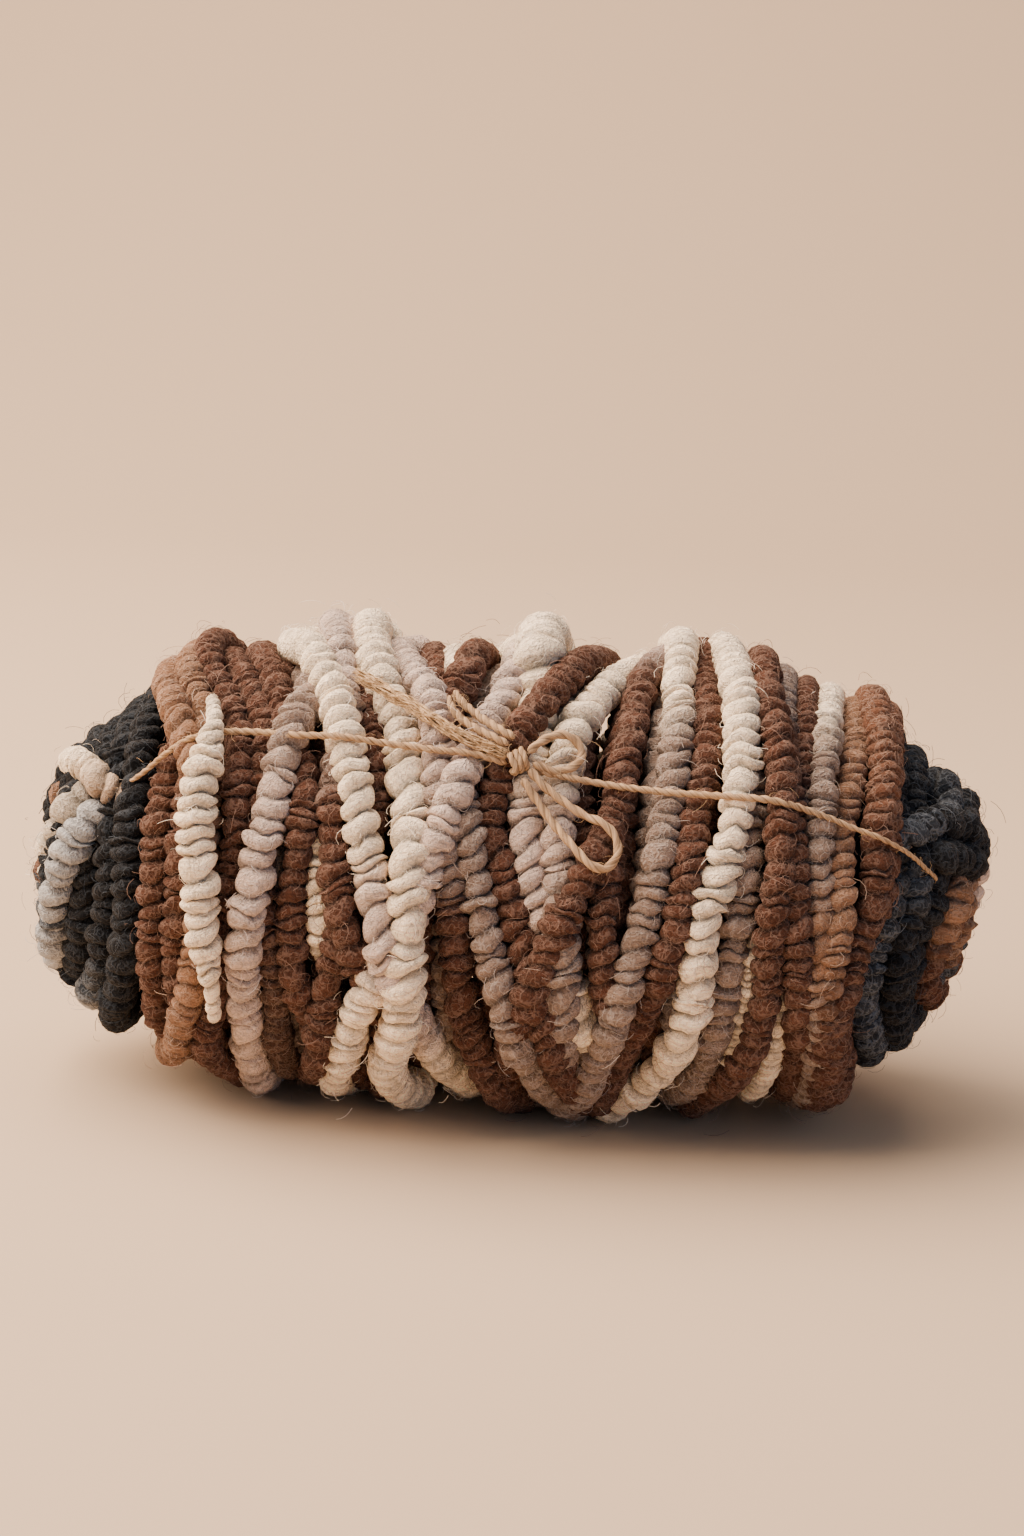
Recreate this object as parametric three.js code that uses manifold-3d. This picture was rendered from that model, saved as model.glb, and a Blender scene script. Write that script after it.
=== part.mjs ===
// A roll of thick-and-thin core-spun rug yarn, lying on its side and tied lengthwise with jute twine.
// Millimetres: X runs along the roll, Y away from the viewer, Z up. The roll rests on Z = 0.
import * as THREE from "three";
import { mergeVertices } from "three/addons/utils/BufferGeometryUtils.js";
import Module from "manifold-3d";

// The roll. Its axis stands this high, and its middle this far behind and to the right of its box's middle.
const AXIS_HEIGHT = 88;
const AXIS_BACK = 1;
const AXIS_RIGHT = 1.25;

// Its own weight flattens the foot: the share by which the foot lies nearer the axis. Past the first of two
// places along the roll, the left end sags outwards at the foot, most of all a sag's distance below the axis,
// and the right end is drawn in round a waist a little below the axis. Turns pile up less at the foot and over
// the ends, by these shares.
const FOOT_FLAT = 0.07;
const SAG_FROM = 110;
const SAG_TO = 150;
const LEFT_SAG = 19;
const SAG_BELOW = 60;
const RIGHT_WAIST = 9;
const WAIST_HEIGHT = -18;
const WAIST_REACH = 32;
const FOOT_PRESS = 0.6;
const END_PRESS = 0.55;

// How turns lie on each other. Soft turns rest closer than the sum of their radii, pile up no higher than
// the most, and bridge the dips with a little sag. A stretch that goes under others is tucked at its ends.
const SQUEEZE = 0.72;
const MOST_PILED = 13;
const TURN_STEP = 4;
const FEWEST_STEPS = 10;
const SAG = 0.2;
const PULL_PASSES = 60;
const TUCK_DEPTH = 8;
const TUCK_LENGTH = 12;
const BACK_HALF_WIDTH = 141;

// The net of the skin over the turns: its cells along and around, how deep it goes between two turns, how
// wide a band of turns sets the drift of its lines, and the angles over which a line goes back behind
const SKIN_ALONG = 132;
const SKIN_AROUND = 36;
const VALLEY = 3;
const DRIFT_WIDTH = 12;
const DRIFT_REST = 0.2;
const RETURN_FROM = 180;
const RETURN_TO = 340;

// The twine, the knot and the loose end
const TWINE = 3;
const BOW_TWINE = 3.6;
const LONG_END = 5;
const TWINE_SIDES = 8;
const TIE_STEPS = 100;
const LONG_LOOP_STEPS = 26;
const SHORT_LOOP_STEPS = 16;
const END_STEPS = 12;
const KNOT_PLACE = [6.2, 48.7, 101.5];
const KNOT_SIZE = [8, 10, 8];
const KNOT_AROUND = 12;
const KNOT_DOWN = 8;
const LOOSE_END_SIDES = 10;
const LOOSE_END_STEPS = 20;

// Pieces stay this far apart, and corners nearer than this are one
const GAP = 0.35;
const WELD = 1e-4;

// Colours and roughness
const JUTE = 0xc39a6c;
const CREAM = 0xe9ddcc;
const BROWN = 0x6b4532;
const WOOL_ROUGHNESS = 0.95;
const JUTE_ROUGHNESS = 0.85;

// Half the outline on which the middles of the outermost turns lie: along the axis, and out from it
const HALF_OUTLINE = [
  [0, 86.5], [60, 86], [100, 84], [118, 80], [130, 75], [139, 69], [147, 62],
  [156, 54], [165, 45], [172, 35], [176.5, 22], [178, 10], [178.3, 0],
];

// Angles go round from the crown towards the viewer: 0 is the top, 90 faces the viewer, 180 is the foot.
// A full turn is given at eight of them, 24 degrees apart, and closes round the back.
const FIRST_ANGLE = -12;
const STATION = 24;
const STATIONS = 15;
const SHOWN = 8;

// Full turns of the body, the lowest first. Columns: name, thickness, then the place along the roll at
// -12, 12, 36, 60, 84, 108, 132 and 156 degrees
const TURNS = [
  ["thin grey to white foot", 10, 113, 113, 113, 113, 113, 109, 105, 99],
  ["white under the knot", 14, 8, 9, 10, 10, 18, 34, 33, 27],
  ["fuzzy white to taupe", 15, 54, 38, 24, 22, 26, 27, 24, 15],
  ["left edge", 13, -131, -130, -128, -132, -133, -133, -127, -117],
  ["second at the left", 12, -128, -127, -117, -121, -122, -123, -112, -110],
  ["brown under the taupe", 12, -118, -108, -94, -92, -88, -83, -84, -84],
  ["third at the left", 12, -122, -119, -104, -99, -101, -106, -111, -103],
  ["long brown", 13, -106, -97, -84, -73, -77, -74, -63, -54],
  ["tan at the left", 13, -140, -137, -125, -112, -112, -115, -120, -126],
  ["brown between the whites", 13, -66, -62, -53, -48, -56, -63, -68, -74],
  ["left taupe", 15, -70, -73, -79, -85, -91, -95, -96, -95],
  ["pink to brown", 13, -76, -69, -61, -63, -57, -45, -40, -46],
  ["brown over the white", 14, 32, 24, 8, -4, 8, 20, 30, 35],
  ["wide brown", 14, 62, 50, 46, 42, 26, 11, 5, 9],
  ["brown beside the long white", 13, 72, 74, 77, 73, 68, 57, 45, 38],
  ["long taupe", 14, 62, 63, 64, 62, 56, 46, 36, 24],
  ["brown to middle taupe", 14, -17, -17, -24, -13, -4, 7, 19, 32],
  ["pinkish white to brown", 14, -50, -41, -27, -22, -15, -12, -1, 4],
  ["slanting white", 14, -2, 0, -8, -19, -31, -49, -59, -64],
  ["left white", 15, -92, -80, -64, -53, -43, -33, -21, -12],
  ["main white", 16.5, -61, -56, -42, -33, -31, -33, -41, -35],
  ["wide brown at the right", 13, 103, 103, 105, 108, 112, 115, 116, 113],
  ["thin tan", 12, 123, 122, 120, 119, 121, 123, 122, 119],
  ["tan at the right", 12, 134, 135, 133, 128, 127, 125, 124, 121],
  ["right edge", 13, 145, 145, 146, 146, 145, 141, 133, 127],
  ["second at the right", 13, 137, 138, 141, 140, 139, 131, 126, 124],
  ["right taupe", 13, 88, 92, 94, 94, 91, 86, 80, 69],
  ["brown beside the right taupe", 13, 94, 96, 101, 104, 103, 101, 90, 77],
  ["long white", 15, 80, 85, 89, 87, 78, 74, 62, 42],
];

// Turns of the two rounded ends, lowest first, with the same columns. Their place is measured along the
// surface from the middle of the roll.
const END_TURNS = [
  ["left, sixth", 13, -201, -201, -201, -201, -202, -203, -202, -201],
  ["left, fifth", 13, -190, -189, -188, -188, -189, -190, -190, -190],
  ["left, first", 14, -147, -147, -148, -148, -148, -146, -145, -143],
  ["left, third", 14, -170, -170, -171, -173, -174, -175, -174, -172],
  ["left, second", 14, -158, -158, -158, -160, -159, -161, -158, -156],
  ["left, fourth", 13, -180, -180, -180, -181, -184, -186, -185, -183],
  ["right, sixth", 13, 201, 201, 200, 200, 201, 201, 201, 201],
  ["right, fifth", 13, 189, 189, 188, 188, 188, 187, 186, 187],
  ["right, first", 14, 152, 152, 153, 154, 156, 156, 152, 149],
  ["right, third", 14, 177, 177, 177, 177, 177, 176, 174, 174],
  ["right, second", 14, 164, 164, 165, 166, 167, 168, 165, 161],
];

// Stretches that come up between other turns and go under again. Columns: name, thickness, first angle,
// last angle, then the place along the surface at the first, the middle and the last angle
const SHORT_TURNS = [
  ["deep white", 11, 52, 100, -67, -67, -65],
  ["marled, deep", 11, 60, 118, 66, 67, 70],
  ["taupe beside the long taupe", 11, 78, 118, 40, 41, 42],
  ["brown under the long taupe", 13, 62, 112, 44, 41, 48],
  ["brown at the crown", 12, -40, 24, -38, -35, -27],
  ["white bump at the crown", 11, -30, 22, -27, -26, -22],
  ["small white at the crown", 11, -30, 26, 20, 21, 18],
  ["thin cream", 8, 84, 136, 97, 95, 86],
];

// Stretches laid over all the rest, with the same columns
const LATE_SHORT_TURNS = [
  ["thick white at the crown", 21, -40, 20, 8, 8, 9],
  ["left, white edged", 14, 52, 150, -161, -185, -180],
  ["left, pale and grey", 14, 44, 106, -163, -193, -196],
  ["left, tan", 11, 12, 52, -197, -194, -189],
  ["left, cream", 13, 8, 56, -190, -176, -152],
  ["right, pale grey", 13, 6, 56, 166, 177, 149],
  ["right, upper black", 14, 14, 48, 204, 188, 158],
  ["right, lower black", 14, 38, 60, 206, 190, 160],
];

// Turns that cross the middle of each end. Columns: the way that each faces, and how near it comes
const END_CHORDS = [
  [30, 13],
  [150, 12],
  [270, 14],
  [90, 9],
  [215, 8],
];
const CHORD_REACH = 42;
const CHORD_THICKNESS = 13;
const CHORD_STEP = 6;

// Routes round the roll. Columns: place along the roll, angle, and how far from the roll's axis.
// The tie leaves the knot to the left, goes round both ends and comes in to the knot again.
const TIE_ROUTE = [
  [2, 49, 99.5], [-10, 48, 102.2], [-26, 47.5, 102.4], [-44, 46.5, 102], [-62, 46, 103.8], [-78, 45.5, 101.6],
  [-94, 44, 98], [-108, 43.5, 95.2], [-120, 45, 93], [-130, 47, 85.5], [-139, 49, 75.5], [-147, 50.5, 67],
  [-154, 52, 57], [-161, 53, 49], [-170, 55, 41.5], [-175, 58, 28], [-177.5, 66, 13], [-178, 140, 5],
  [-177.5, 214, 13], [-175, 222, 28], [-170, 225, 41.5], [-163, 226, 52], [-155, 227, 60.5],
  [-147, 228, 70], [-139, 228, 81], [-124, 228, 86], [-108, 228, 91], [-90, 228, 96.3], [-70, 227, 98],
  [-40, 227, 101.5], [-4, 227, 100], [20, 227, 98.6], [60, 228, 95.3], [104, 228, 89], [130, 229, 84.5],
  [140, 229, 77], [145.7, 229, 69], [151.3, 229, 60], [156.8, 229, 52], [162.4, 228, 41.5],
  [166.3, 225, 28], [168.5, 216, 13], [169.5, 150, 5], [170, 84, 13], [168.5, 75, 28], [167, 69, 41.5],
  [165.5, 65, 51.5],
  [161, 63, 61], [156, 61.5, 71], [150, 60.5, 80], [142, 59, 85.5], [133, 57.5, 87.5], [120, 55.5, 92],
  [102, 54.5, 100], [84, 54, 99.5], [60, 53, 96.5], [36, 51.5, 95.5], [12, 50, 98.5],
];

// The bow's long loop, its short loop, its unlaid end and its two cut ends, each from the knot
const LONG_LOOP_ROUTE = [
  [10.5, 50.2, 100.5], [14, 52.5, 99.5], [19.5, 55, 98], [26, 57.5, 97.2], [33, 60, 98], [39.5, 61.6, 100],
  [44.5, 64.6, 99.5], [45.5, 68.2, 99.8], [41.5, 71.4, 101.3], [35.5, 70.6, 102.8], [30, 67.6, 101.5],
  [25, 64.6, 98.8], [19.5, 60.9, 97], [14.5, 57, 97], [11, 54.5, 98.5], [8, 52.5, 100],
];
const SHORT_LOOP_ROUTE = [
  [9.8, 47.2, 102.5], [12.5, 45.4, 103], [16.5, 43.1, 102], [21.5, 41.6, 101], [27, 42.1, 98.5],
  [29.5, 45.1, 96.5], [27, 48.1, 97], [21, 49.9, 98], [15.5, 49.6, 99.5], [11.5, 49, 101],
];
const LONG_END_ROUTE = [
  [2, 47.6, 101.8], [-6, 46.4, 103], [-13, 45.1, 104], [-19, 43.6, 104.4], [-25, 41.6, 104.6],
  [-31, 39.3, 104.2], [-37, 36.6, 103.4], [-44, 34, 102.6], [-50, 31.3, 102.4], [-56, 29.3, 102.6],
  [-60, 27.8, 103.2],
];
const LOWER_CUT_END_ROUTE = [
  [2.4, 45.9, 103.6], [-4, 44.4, 104.6], [-10, 42.4, 103.4], [-16, 39.9, 102.6], [-20.5, 36.9, 103],
  [-22.5, 33.6, 103.4],
];
const UPPER_CUT_END_ROUTE = [
  [4.5, 44.3, 104], [-1, 42.6, 104.4], [-6.5, 40.1, 102.6], [-11.5, 37.3, 101], [-17, 34.1, 100.4],
  [-21, 30.6, 101],
];

// The yarn's loose end lies over the tie. Its last column is its radius there.
const LOOSE_END_ROUTE = [
  [-105.5, 117, 90.5, 1.8], [-106, 112.5, 92.5, 2.8], [-105.5, 107, 94.5, 3], [-107, 100, 95, 5.2],
  [-109, 93, 94.8, 6.6], [-110, 86, 95, 7.3], [-110.5, 79, 95.3, 7.5], [-112, 73, 95.8, 7.7],
  [-113, 67, 97, 7.9], [-113, 61, 98.8, 8], [-112, 55, 100, 7.6], [-110.5, 49.5, 100.8, 6.6],
  [-110, 44.5, 101, 3.8], [-111, 40.5, 97, 3.4], [-112.5, 36.5, 93.2, 3], [-114, 32, 90.4, 2.4],
  [-114.5, 29.5, 90.2, 2],
];

const wasm = await Module();
wasm.setup();

// The whole outline from one end of the axis to the other, as an arc-length curve
function outlineCurve() {
  const right = HALF_OUTLINE.map(([x, out]) => new THREE.Vector3(x, out, 0));
  const left = HALF_OUTLINE.slice(1).reverse().map(([x, out]) => new THREE.Vector3(-x, out, 0));
  const curve = new THREE.CatmullRomCurve3([...left, ...right], false, "centripetal");
  curve.arcLengthDivisions = 800;
  return curve;
}

const OUTLINE = outlineCurve();
const OUTLINE_LENGTH = OUTLINE.getLength();

// A point of the surface on which turns are laid, and the way out of it. Run is measured along the surface
// from the middle of the roll.
function onRoll(run, angle) {
  const share = THREE.MathUtils.clamp(0.5 + run / OUTLINE_LENGTH, 0, 1);
  const point = OUTLINE.getPointAt(share);
  const along = OUTLINE.getTangentAt(share);
  const turned = THREE.MathUtils.degToRad(angle);
  const round = new THREE.Vector3(0, -Math.sin(turned), Math.cos(turned));
  const flat = 1 - FOOT_FLAT * Math.min(0, round.z) ** 2;
  const height = point.y * round.z;
  const low = THREE.MathUtils.clamp(-height / SAG_BELOW, 0, 1) ** 2;
  const waist = Math.max(0, 1 - ((height - WAIST_HEIGHT) / WAIST_REACH) ** 2);
  const leftwards = point.x < 0 ? LEFT_SAG * low : RIGHT_WAIST * waist;
  const towardsEnd = THREE.MathUtils.smoothstep(Math.abs(point.x), SAG_FROM, SAG_TO);
  const middle = new THREE.Vector3(point.x - leftwards * towardsEnd + AXIS_RIGHT, AXIS_BACK, AXIS_HEIGHT);
  const foot = middle.addScaledVector(round, point.y * flat);
  const out = new THREE.Vector3(-along.y, 0, 0).addScaledVector(round, along.x);
  return { foot, out };
}

// A point given by its place along the axis, its angle and its distance from the axis
function roundAxis([x, angle, distance]) {
  const turned = THREE.MathUtils.degToRad(angle);
  const [aside, up] = [Math.sin(turned) * distance, Math.cos(turned) * distance];
  return new THREE.Vector3(x + AXIS_RIGHT, AXIS_BACK - aside, AXIS_HEIGHT + up);
}

// The run at which the right half's outline is that far from the axis
function runAtDistance(distance) {
  let near = 0;
  let far = OUTLINE_LENGTH / 2;
  for (let halving = 0; halving < 30; halving += 1) {
    const middle = (near + far) / 2;
    if (OUTLINE.getPointAt(0.5 + middle / OUTLINE_LENGTH).y > distance) near = middle;
    else far = middle;
  }
  return near;
}

// Smooth values of a closed row of stations, at any place counted in stations
function roundStations(values, place) {
  const count = values.length;
  const whole = Math.floor(place);
  const part = place - whole;
  const [a, b, c, d] = [-1, 0, 1, 2].map((step) => values[(((whole + step) % count) + count) % count]);
  const bend = (2 * a - 5 * b + 4 * c - d) * part ** 2 + (3 * b - 3 * c + d - a) * part ** 3;
  return b + ((c - a) * part + bend) / 2;
}

// Full turns close round the back, where they lie evenly, each in its own slot
function backSlots(turns, halfWidth) {
  const middle = (turn) => turn[2] + turn.at(-1);
  const ranked = [...turns].sort((one, other) => middle(one) - middle(other));
  const width = (2 * halfWidth) / (turns.length - 1);
  return turns.map((turn) => ranked.indexOf(turn) * width - halfWidth);
}

function closedStations(shown, slot) {
  const back = STATIONS - SHOWN;
  const stations = [...shown];
  for (let step = 1; step <= back; step += 1) {
    const share = step / (back + 1);
    const nearFoot = Math.max(0, 1 - 2 * share);
    const nearCrown = Math.max(0, 2 * share - 1);
    const ends = nearFoot * shown.at(-1) + nearCrown * shown[0];
    stations.push(ends + (1 - nearFoot - nearCrown) * slot);
  }
  return stations;
}

// The points of a turn before it is laid: where it would touch the surface below, the way out, its radius
// and how far it is tucked in
function fullTurn(thickness, shown, slot) {
  const stations = closedStations(shown, slot);
  const points = [];
  for (let angle = 0; angle < 360; angle += TURN_STEP) {
    const run = roundStations(stations, (angle - FIRST_ANGLE) / STATION);
    points.push({ ...onRoll(run, angle), radius: thickness / 2, tuck: 0 });
  }
  return { points, closed: true };
}

function tuckAt(fromEnd) {
  return THREE.MathUtils.smoothstep(TUCK_LENGTH - fromEnd, 0, TUCK_LENGTH);
}

function shortTurn([, thickness, first, last, start, middle, end]) {
  const count = Math.max(FEWEST_STEPS, Math.round((last - first) / TURN_STEP));
  const points = [];
  for (let step = 0; step <= count; step += 1) {
    const t = step / count;
    const run = start * (1 - t) * (1 - 2 * t) + 4 * middle * t * (1 - t) + end * t * (2 * t - 1);
    points.push({ ...onRoll(run, first + t * (last - first)), radius: thickness / 2, tuck: 0 });
  }
  return tucked(points);
}

// A turn straight across the end, as near to the axis as it comes
function chordTurn(side, facing, nearest) {
  const points = [];
  for (let reach = -CHORD_REACH; reach <= CHORD_REACH; reach += CHORD_STEP) {
    const run = side * runAtDistance(Math.hypot(reach, nearest));
    const angle = facing + THREE.MathUtils.radToDeg(Math.atan2(reach, nearest));
    points.push({ ...onRoll(run, angle), radius: CHORD_THICKNESS / 2, tuck: 0 });
  }
  return tucked(points);
}

function tucked(points) {
  const first = points[0].foot;
  const last = points.at(-1).foot;
  for (const point of points) {
    point.tuck = tuckAt(Math.min(point.foot.distanceTo(first), point.foot.distanceTo(last)));
  }
  return { points, closed: false };
}

// How far out a ball on the line from foot has to lie, to touch the ball at middle at the distance given
function reachOver(foot, out, middle, distance) {
  const away = new THREE.Vector3().subVectors(middle, foot);
  const height = away.dot(out);
  const aside = away.lengthSq() - height * height;
  if (aside >= distance * distance) return -Infinity;
  return height + Math.sqrt(distance * distance - aside);
}

// Lays a turn on what is there already. It is drawn tight, so it bridges the dips.
function lay(turn, laid) {
  const { points, closed } = turn;
  const resting = points.map(({ foot, out, radius }) => {
    const heights = laid.map((ball) => reachOver(foot, out, ball.middle, (radius + ball.radius) * SQUEEZE));
    const highest = heights.reduce((most, height) => Math.max(most, height), 0);
    const most = MOST_PILED * (1 - FOOT_PRESS * Math.min(0, out.z) ** 2 - END_PRESS * out.x ** 2);
    return most * Math.tanh(highest / most);
  });
  let heights = [...resting];
  const count = points.length;
  for (let pass = 0; pass < PULL_PASSES; pass += 1) {
    heights = heights.map((height, index) => {
      const isEnd = !closed && (index === 0 || index === count - 1);
      if (isEnd) return height;
      const sides = heights[(index + count - 1) % count] + heights[(index + 1) % count];
      return Math.max(resting[index], sides / 2 - SAG);
    });
  }
  points.forEach(({ foot, out, radius, tuck }, index) => {
    const height = heights[index] * (1 - tuck) - TUCK_DEPTH * tuck;
    laid.push({ middle: foot.clone().addScaledVector(out, height), radius });
  });
}

// Every turn of the winding, in the order in which it was wound
function windRoll() {
  const laid = [];
  const slots = backSlots(TURNS, BACK_HALF_WIDTH);
  for (const side of [-1, 1]) {
    END_CHORDS.forEach(([facing, nearest]) => lay(chordTurn(side, facing, nearest), laid));
  }
  SHORT_TURNS.forEach((row) => lay(shortTurn(row), laid));
  END_TURNS.forEach(([, thickness, ...shown]) => {
    const slot = (shown[0] + shown.at(-1)) / 2;
    lay(fullTurn(thickness, shown, slot), laid);
  });
  TURNS.forEach(([, thickness, ...shown], index) => lay(fullTurn(thickness, shown, slots[index]), laid));
  LATE_SHORT_TURNS.forEach((row) => lay(shortTurn(row), laid));
  return laid;
}

// The lines of the skin's net run along the turns. Each line starts at the crown, drifts with the turns
// near it down the shown side, and goes back to its start behind.
function netLines() {
  const slots = backSlots(TURNS, BACK_HALF_WIDTH);
  const turns = TURNS.map(([, , ...shown], index) => closedStations(shown, slots[index]));
  const placeOf = (angle) => (angle - FIRST_ANGLE) / STATION;
  const angleStep = 360 / SKIN_AROUND;
  return Array.from({ length: SKIN_ALONG - 1 }, (_, line) => {
    const start = ((line + 1) / SKIN_ALONG - 0.5) * OUTLINE_LENGTH;
    const runs = [start];
    for (let column = 1; column < SKIN_AROUND; column += 1) {
      const angle = (column - 1) * angleStep;
      const here = runs.at(-1);
      let drift = 0;
      let weights = DRIFT_REST;
      for (const stations of turns) {
        const run = roundStations(stations, placeOf(angle));
        const weight = Math.exp(-(((run - here) / DRIFT_WIDTH) ** 2));
        drift += weight * (roundStations(stations, placeOf(angle + angleStep)) - run);
        weights += weight;
      }
      const behind = THREE.MathUtils.smoothstep(angle, RETURN_FROM, RETURN_TO);
      runs.push(THREE.MathUtils.lerp(here + drift / weights, start, behind ** 2));
    }
    return runs;
  });
}

// A point of the roll's skin: as far out as the outermost turn there, and no lower than the flat foot
function skinPoint(run, angle, laid) {
  const { foot, out } = onRoll(run, angle);
  let reach = -VALLEY;
  for (const ball of laid) {
    reach = Math.max(reach, reachOver(foot, out, ball.middle, ball.radius));
  }
  const point = foot.clone().addScaledVector(out, reach);
  if (point.z < 0) point.addScaledVector(out, -point.z / out.z);
  return { point, reach };
}

// The wound roll as one closed skin over its turns
function woundSkin() {
  const laid = windRoll();
  const half = OUTLINE_LENGTH / 2;
  const rows = netLines().map((runs) =>
    runs.map((run, column) => skinPoint(run, (column * 360) / SKIN_AROUND, laid)),
  );
  const leftPole = skinPoint(-half, 0, laid).point;
  const rightPole = skinPoint(half, 0, laid).point;
  const positions = [];
  const addTriangle = (...corners) => corners.forEach(({ x, y, z }) => positions.push(x, y, z));
  for (let column = 0; column < SKIN_AROUND; column += 1) {
    const next = (column + 1) % SKIN_AROUND;
    addTriangle(leftPole, rows[0][next].point, rows[0][column].point);
    addTriangle(rightPole, rows.at(-1)[column].point, rows.at(-1)[next].point);
    for (let row = 0; row + 1 < rows.length; row += 1) {
      const [a, b] = [rows[row][column], rows[row + 1][column]];
      const [c, d] = [rows[row + 1][next], rows[row][next]];
      // The fold of each cell follows the higher way across, so that the ridges stay whole
      if (a.reach + c.reach > b.reach + d.reach) {
        addTriangle(a.point, c.point, b.point);
        addTriangle(a.point, d.point, c.point);
      } else {
        addTriangle(a.point, d.point, b.point);
        addTriangle(b.point, d.point, c.point);
      }
    }
  }
  const skin = new THREE.BufferGeometry();
  skin.setAttribute("position", new THREE.Float32BufferAttribute(positions, 3));
  return skin;
}

// A round cord along a route
function cord(route, thickness, sides, steps) {
  const section = new THREE.Shape();
  for (let side = 0; side < sides; side += 1) {
    const turned = (side * 2 * Math.PI) / sides;
    const [across, up] = [(Math.cos(turned) * thickness) / 2, (Math.sin(turned) * thickness) / 2];
    if (side === 0) section.moveTo(across, up);
    else section.lineTo(across, up);
  }
  section.closePath();
  const curve = new THREE.CatmullRomCurve3(route, false, "centripetal");
  return new THREE.ExtrudeGeometry(section, { steps, extrudePath: curve });
}

function toSolid(geometry) {
  const bare = geometry.clone();
  bare.deleteAttribute("normal");
  bare.deleteAttribute("uv");
  const merged = mergeVertices(bare, WELD);
  const vertProperties = new Float32Array(merged.attributes.position.array);
  const triVerts = new Uint32Array(merged.index.array);
  return new wasm.Manifold(new wasm.Mesh({ numProp: 3, vertProperties, triVerts }));
}

function toGeometry(solid) {
  const mesh = solid.getMesh();
  const geometry = new THREE.BufferGeometry();
  geometry.setAttribute("position", new THREE.BufferAttribute(mesh.vertProperties, 3));
  geometry.setIndex(new THREE.BufferAttribute(mesh.triVerts, 1));
  return geometry;
}

function named(name, geometry, color, roughness) {
  const material = new THREE.MeshStandardMaterial({ color, roughness, metalness: 0 });
  const mesh = new THREE.Mesh(geometry, material);
  mesh.name = name;
  return mesh;
}

// The cord swells and thins: each ring of its tube is drawn in to the route's own radius there
function looseEnd() {
  const widest = Math.max(...LOOSE_END_ROUTE.map((row) => row[3]));
  const route = LOOSE_END_ROUTE.map((row) => roundAxis(row));
  const geometry = cord(route, widest * 2, LOOSE_END_SIDES, LOOSE_END_STEPS);
  const middles = new THREE.CatmullRomCurve3(route, false, "centripetal").getSpacedPoints(LOOSE_END_STEPS);
  const places = route.map((point) => nearestIndex(point, middles));
  const corners = geometry.attributes.position;
  const corner = new THREE.Vector3();
  for (let index = 0; index < corners.count; index += 1) {
    corner.fromBufferAttribute(corners, index);
    const ring = nearestIndex(corner, middles);
    const radius = radiusAt(ring, places);
    corner.sub(middles[ring]).multiplyScalar(radius / widest).add(middles[ring]);
    corners.setXYZ(index, corner.x, corner.y, corner.z);
  }
  return geometry;
}

function nearestIndex(point, middles) {
  const distances = middles.map((middle) => middle.distanceTo(point));
  return distances.indexOf(Math.min(...distances));
}

// The loose end's radius at a ring, between the route's points on either side of it
function radiusAt(ring, places) {
  const after = Math.max(1, places.findIndex((place) => place >= ring));
  const span = Math.max(1, places[after] - places[after - 1]);
  const share = THREE.MathUtils.clamp((ring - places[after - 1]) / span, 0, 1);
  return THREE.MathUtils.lerp(LOOSE_END_ROUTE[after - 1][3], LOOSE_END_ROUTE[after][3], share);
}

function knot() {
  const [across, round, out] = KNOT_SIZE;
  const lump = new THREE.SphereGeometry(0.5, KNOT_AROUND, KNOT_DOWN);
  lump.scale(across, round, out);
  lump.rotateX(THREE.MathUtils.degToRad(KNOT_PLACE[1]));
  const middle = roundAxis(KNOT_PLACE);
  lump.translate(middle.x, middle.y, middle.z);
  return lump;
}

// The same solid grown by the gap that keeps its neighbours clear
function grownCord(route, thickness, steps) {
  return toSolid(cord(route, thickness + 2 * GAP, TWINE_SIDES, steps));
}

function twinePiece(name, rows, thickness, steps) {
  const route = rows.map((row) => roundAxis(row));
  return {
    name,
    solid: toSolid(cord(route, thickness, TWINE_SIDES, steps)),
    grown: grownCord(route, thickness, steps),
  };
}

function knotPiece() {
  const lump = knot();
  const middle = roundAxis(KNOT_PLACE);
  const larger = lump.clone().translate(-middle.x, -middle.y, -middle.z);
  const growth = 1 + (2 * GAP) / Math.min(...KNOT_SIZE);
  larger.scale(growth, growth, growth).translate(middle.x, middle.y, middle.z);
  return { name: "tie_knot", solid: toSolid(lump), grown: toSolid(larger) };
}

// The tie's pieces, each cut clear of those before it
const tiePieces = [
  knotPiece(),
  twinePiece("tie_wrap", TIE_ROUTE, TWINE, TIE_STEPS),
  twinePiece("tie_long_loop", LONG_LOOP_ROUTE, BOW_TWINE, LONG_LOOP_STEPS),
  twinePiece("tie_short_loop", SHORT_LOOP_ROUTE, BOW_TWINE, SHORT_LOOP_STEPS),
  twinePiece("tie_long_end", LONG_END_ROUTE, LONG_END, END_STEPS),
  twinePiece("tie_lower_cut_end", LOWER_CUT_END_ROUTE, BOW_TWINE, END_STEPS),
  twinePiece("tie_upper_cut_end", UPPER_CUT_END_ROUTE, BOW_TWINE, END_STEPS),
];

const rugYarn = new THREE.Group();
let wound = toSolid(woundSkin());
tiePieces.forEach((piece, index) => {
  const clear = tiePieces.slice(0, index).reduce((left, { grown }) => left.subtract(grown), piece.solid);
  rugYarn.add(named(piece.name, toGeometry(clear), JUTE, JUTE_ROUGHNESS));
  wound = wound.subtract(piece.grown);
});
const end = tiePieces.reduce((left, { grown }) => left.subtract(grown), toSolid(looseEnd()));
wound = wound.subtract(end);
rugYarn.add(named("loose_end", toGeometry(end), CREAM, WOOL_ROUGHNESS));
rugYarn.add(named("wound_yarn", toGeometry(wound), BROWN, WOOL_ROUGHNESS));
export default rugYarn;
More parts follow.
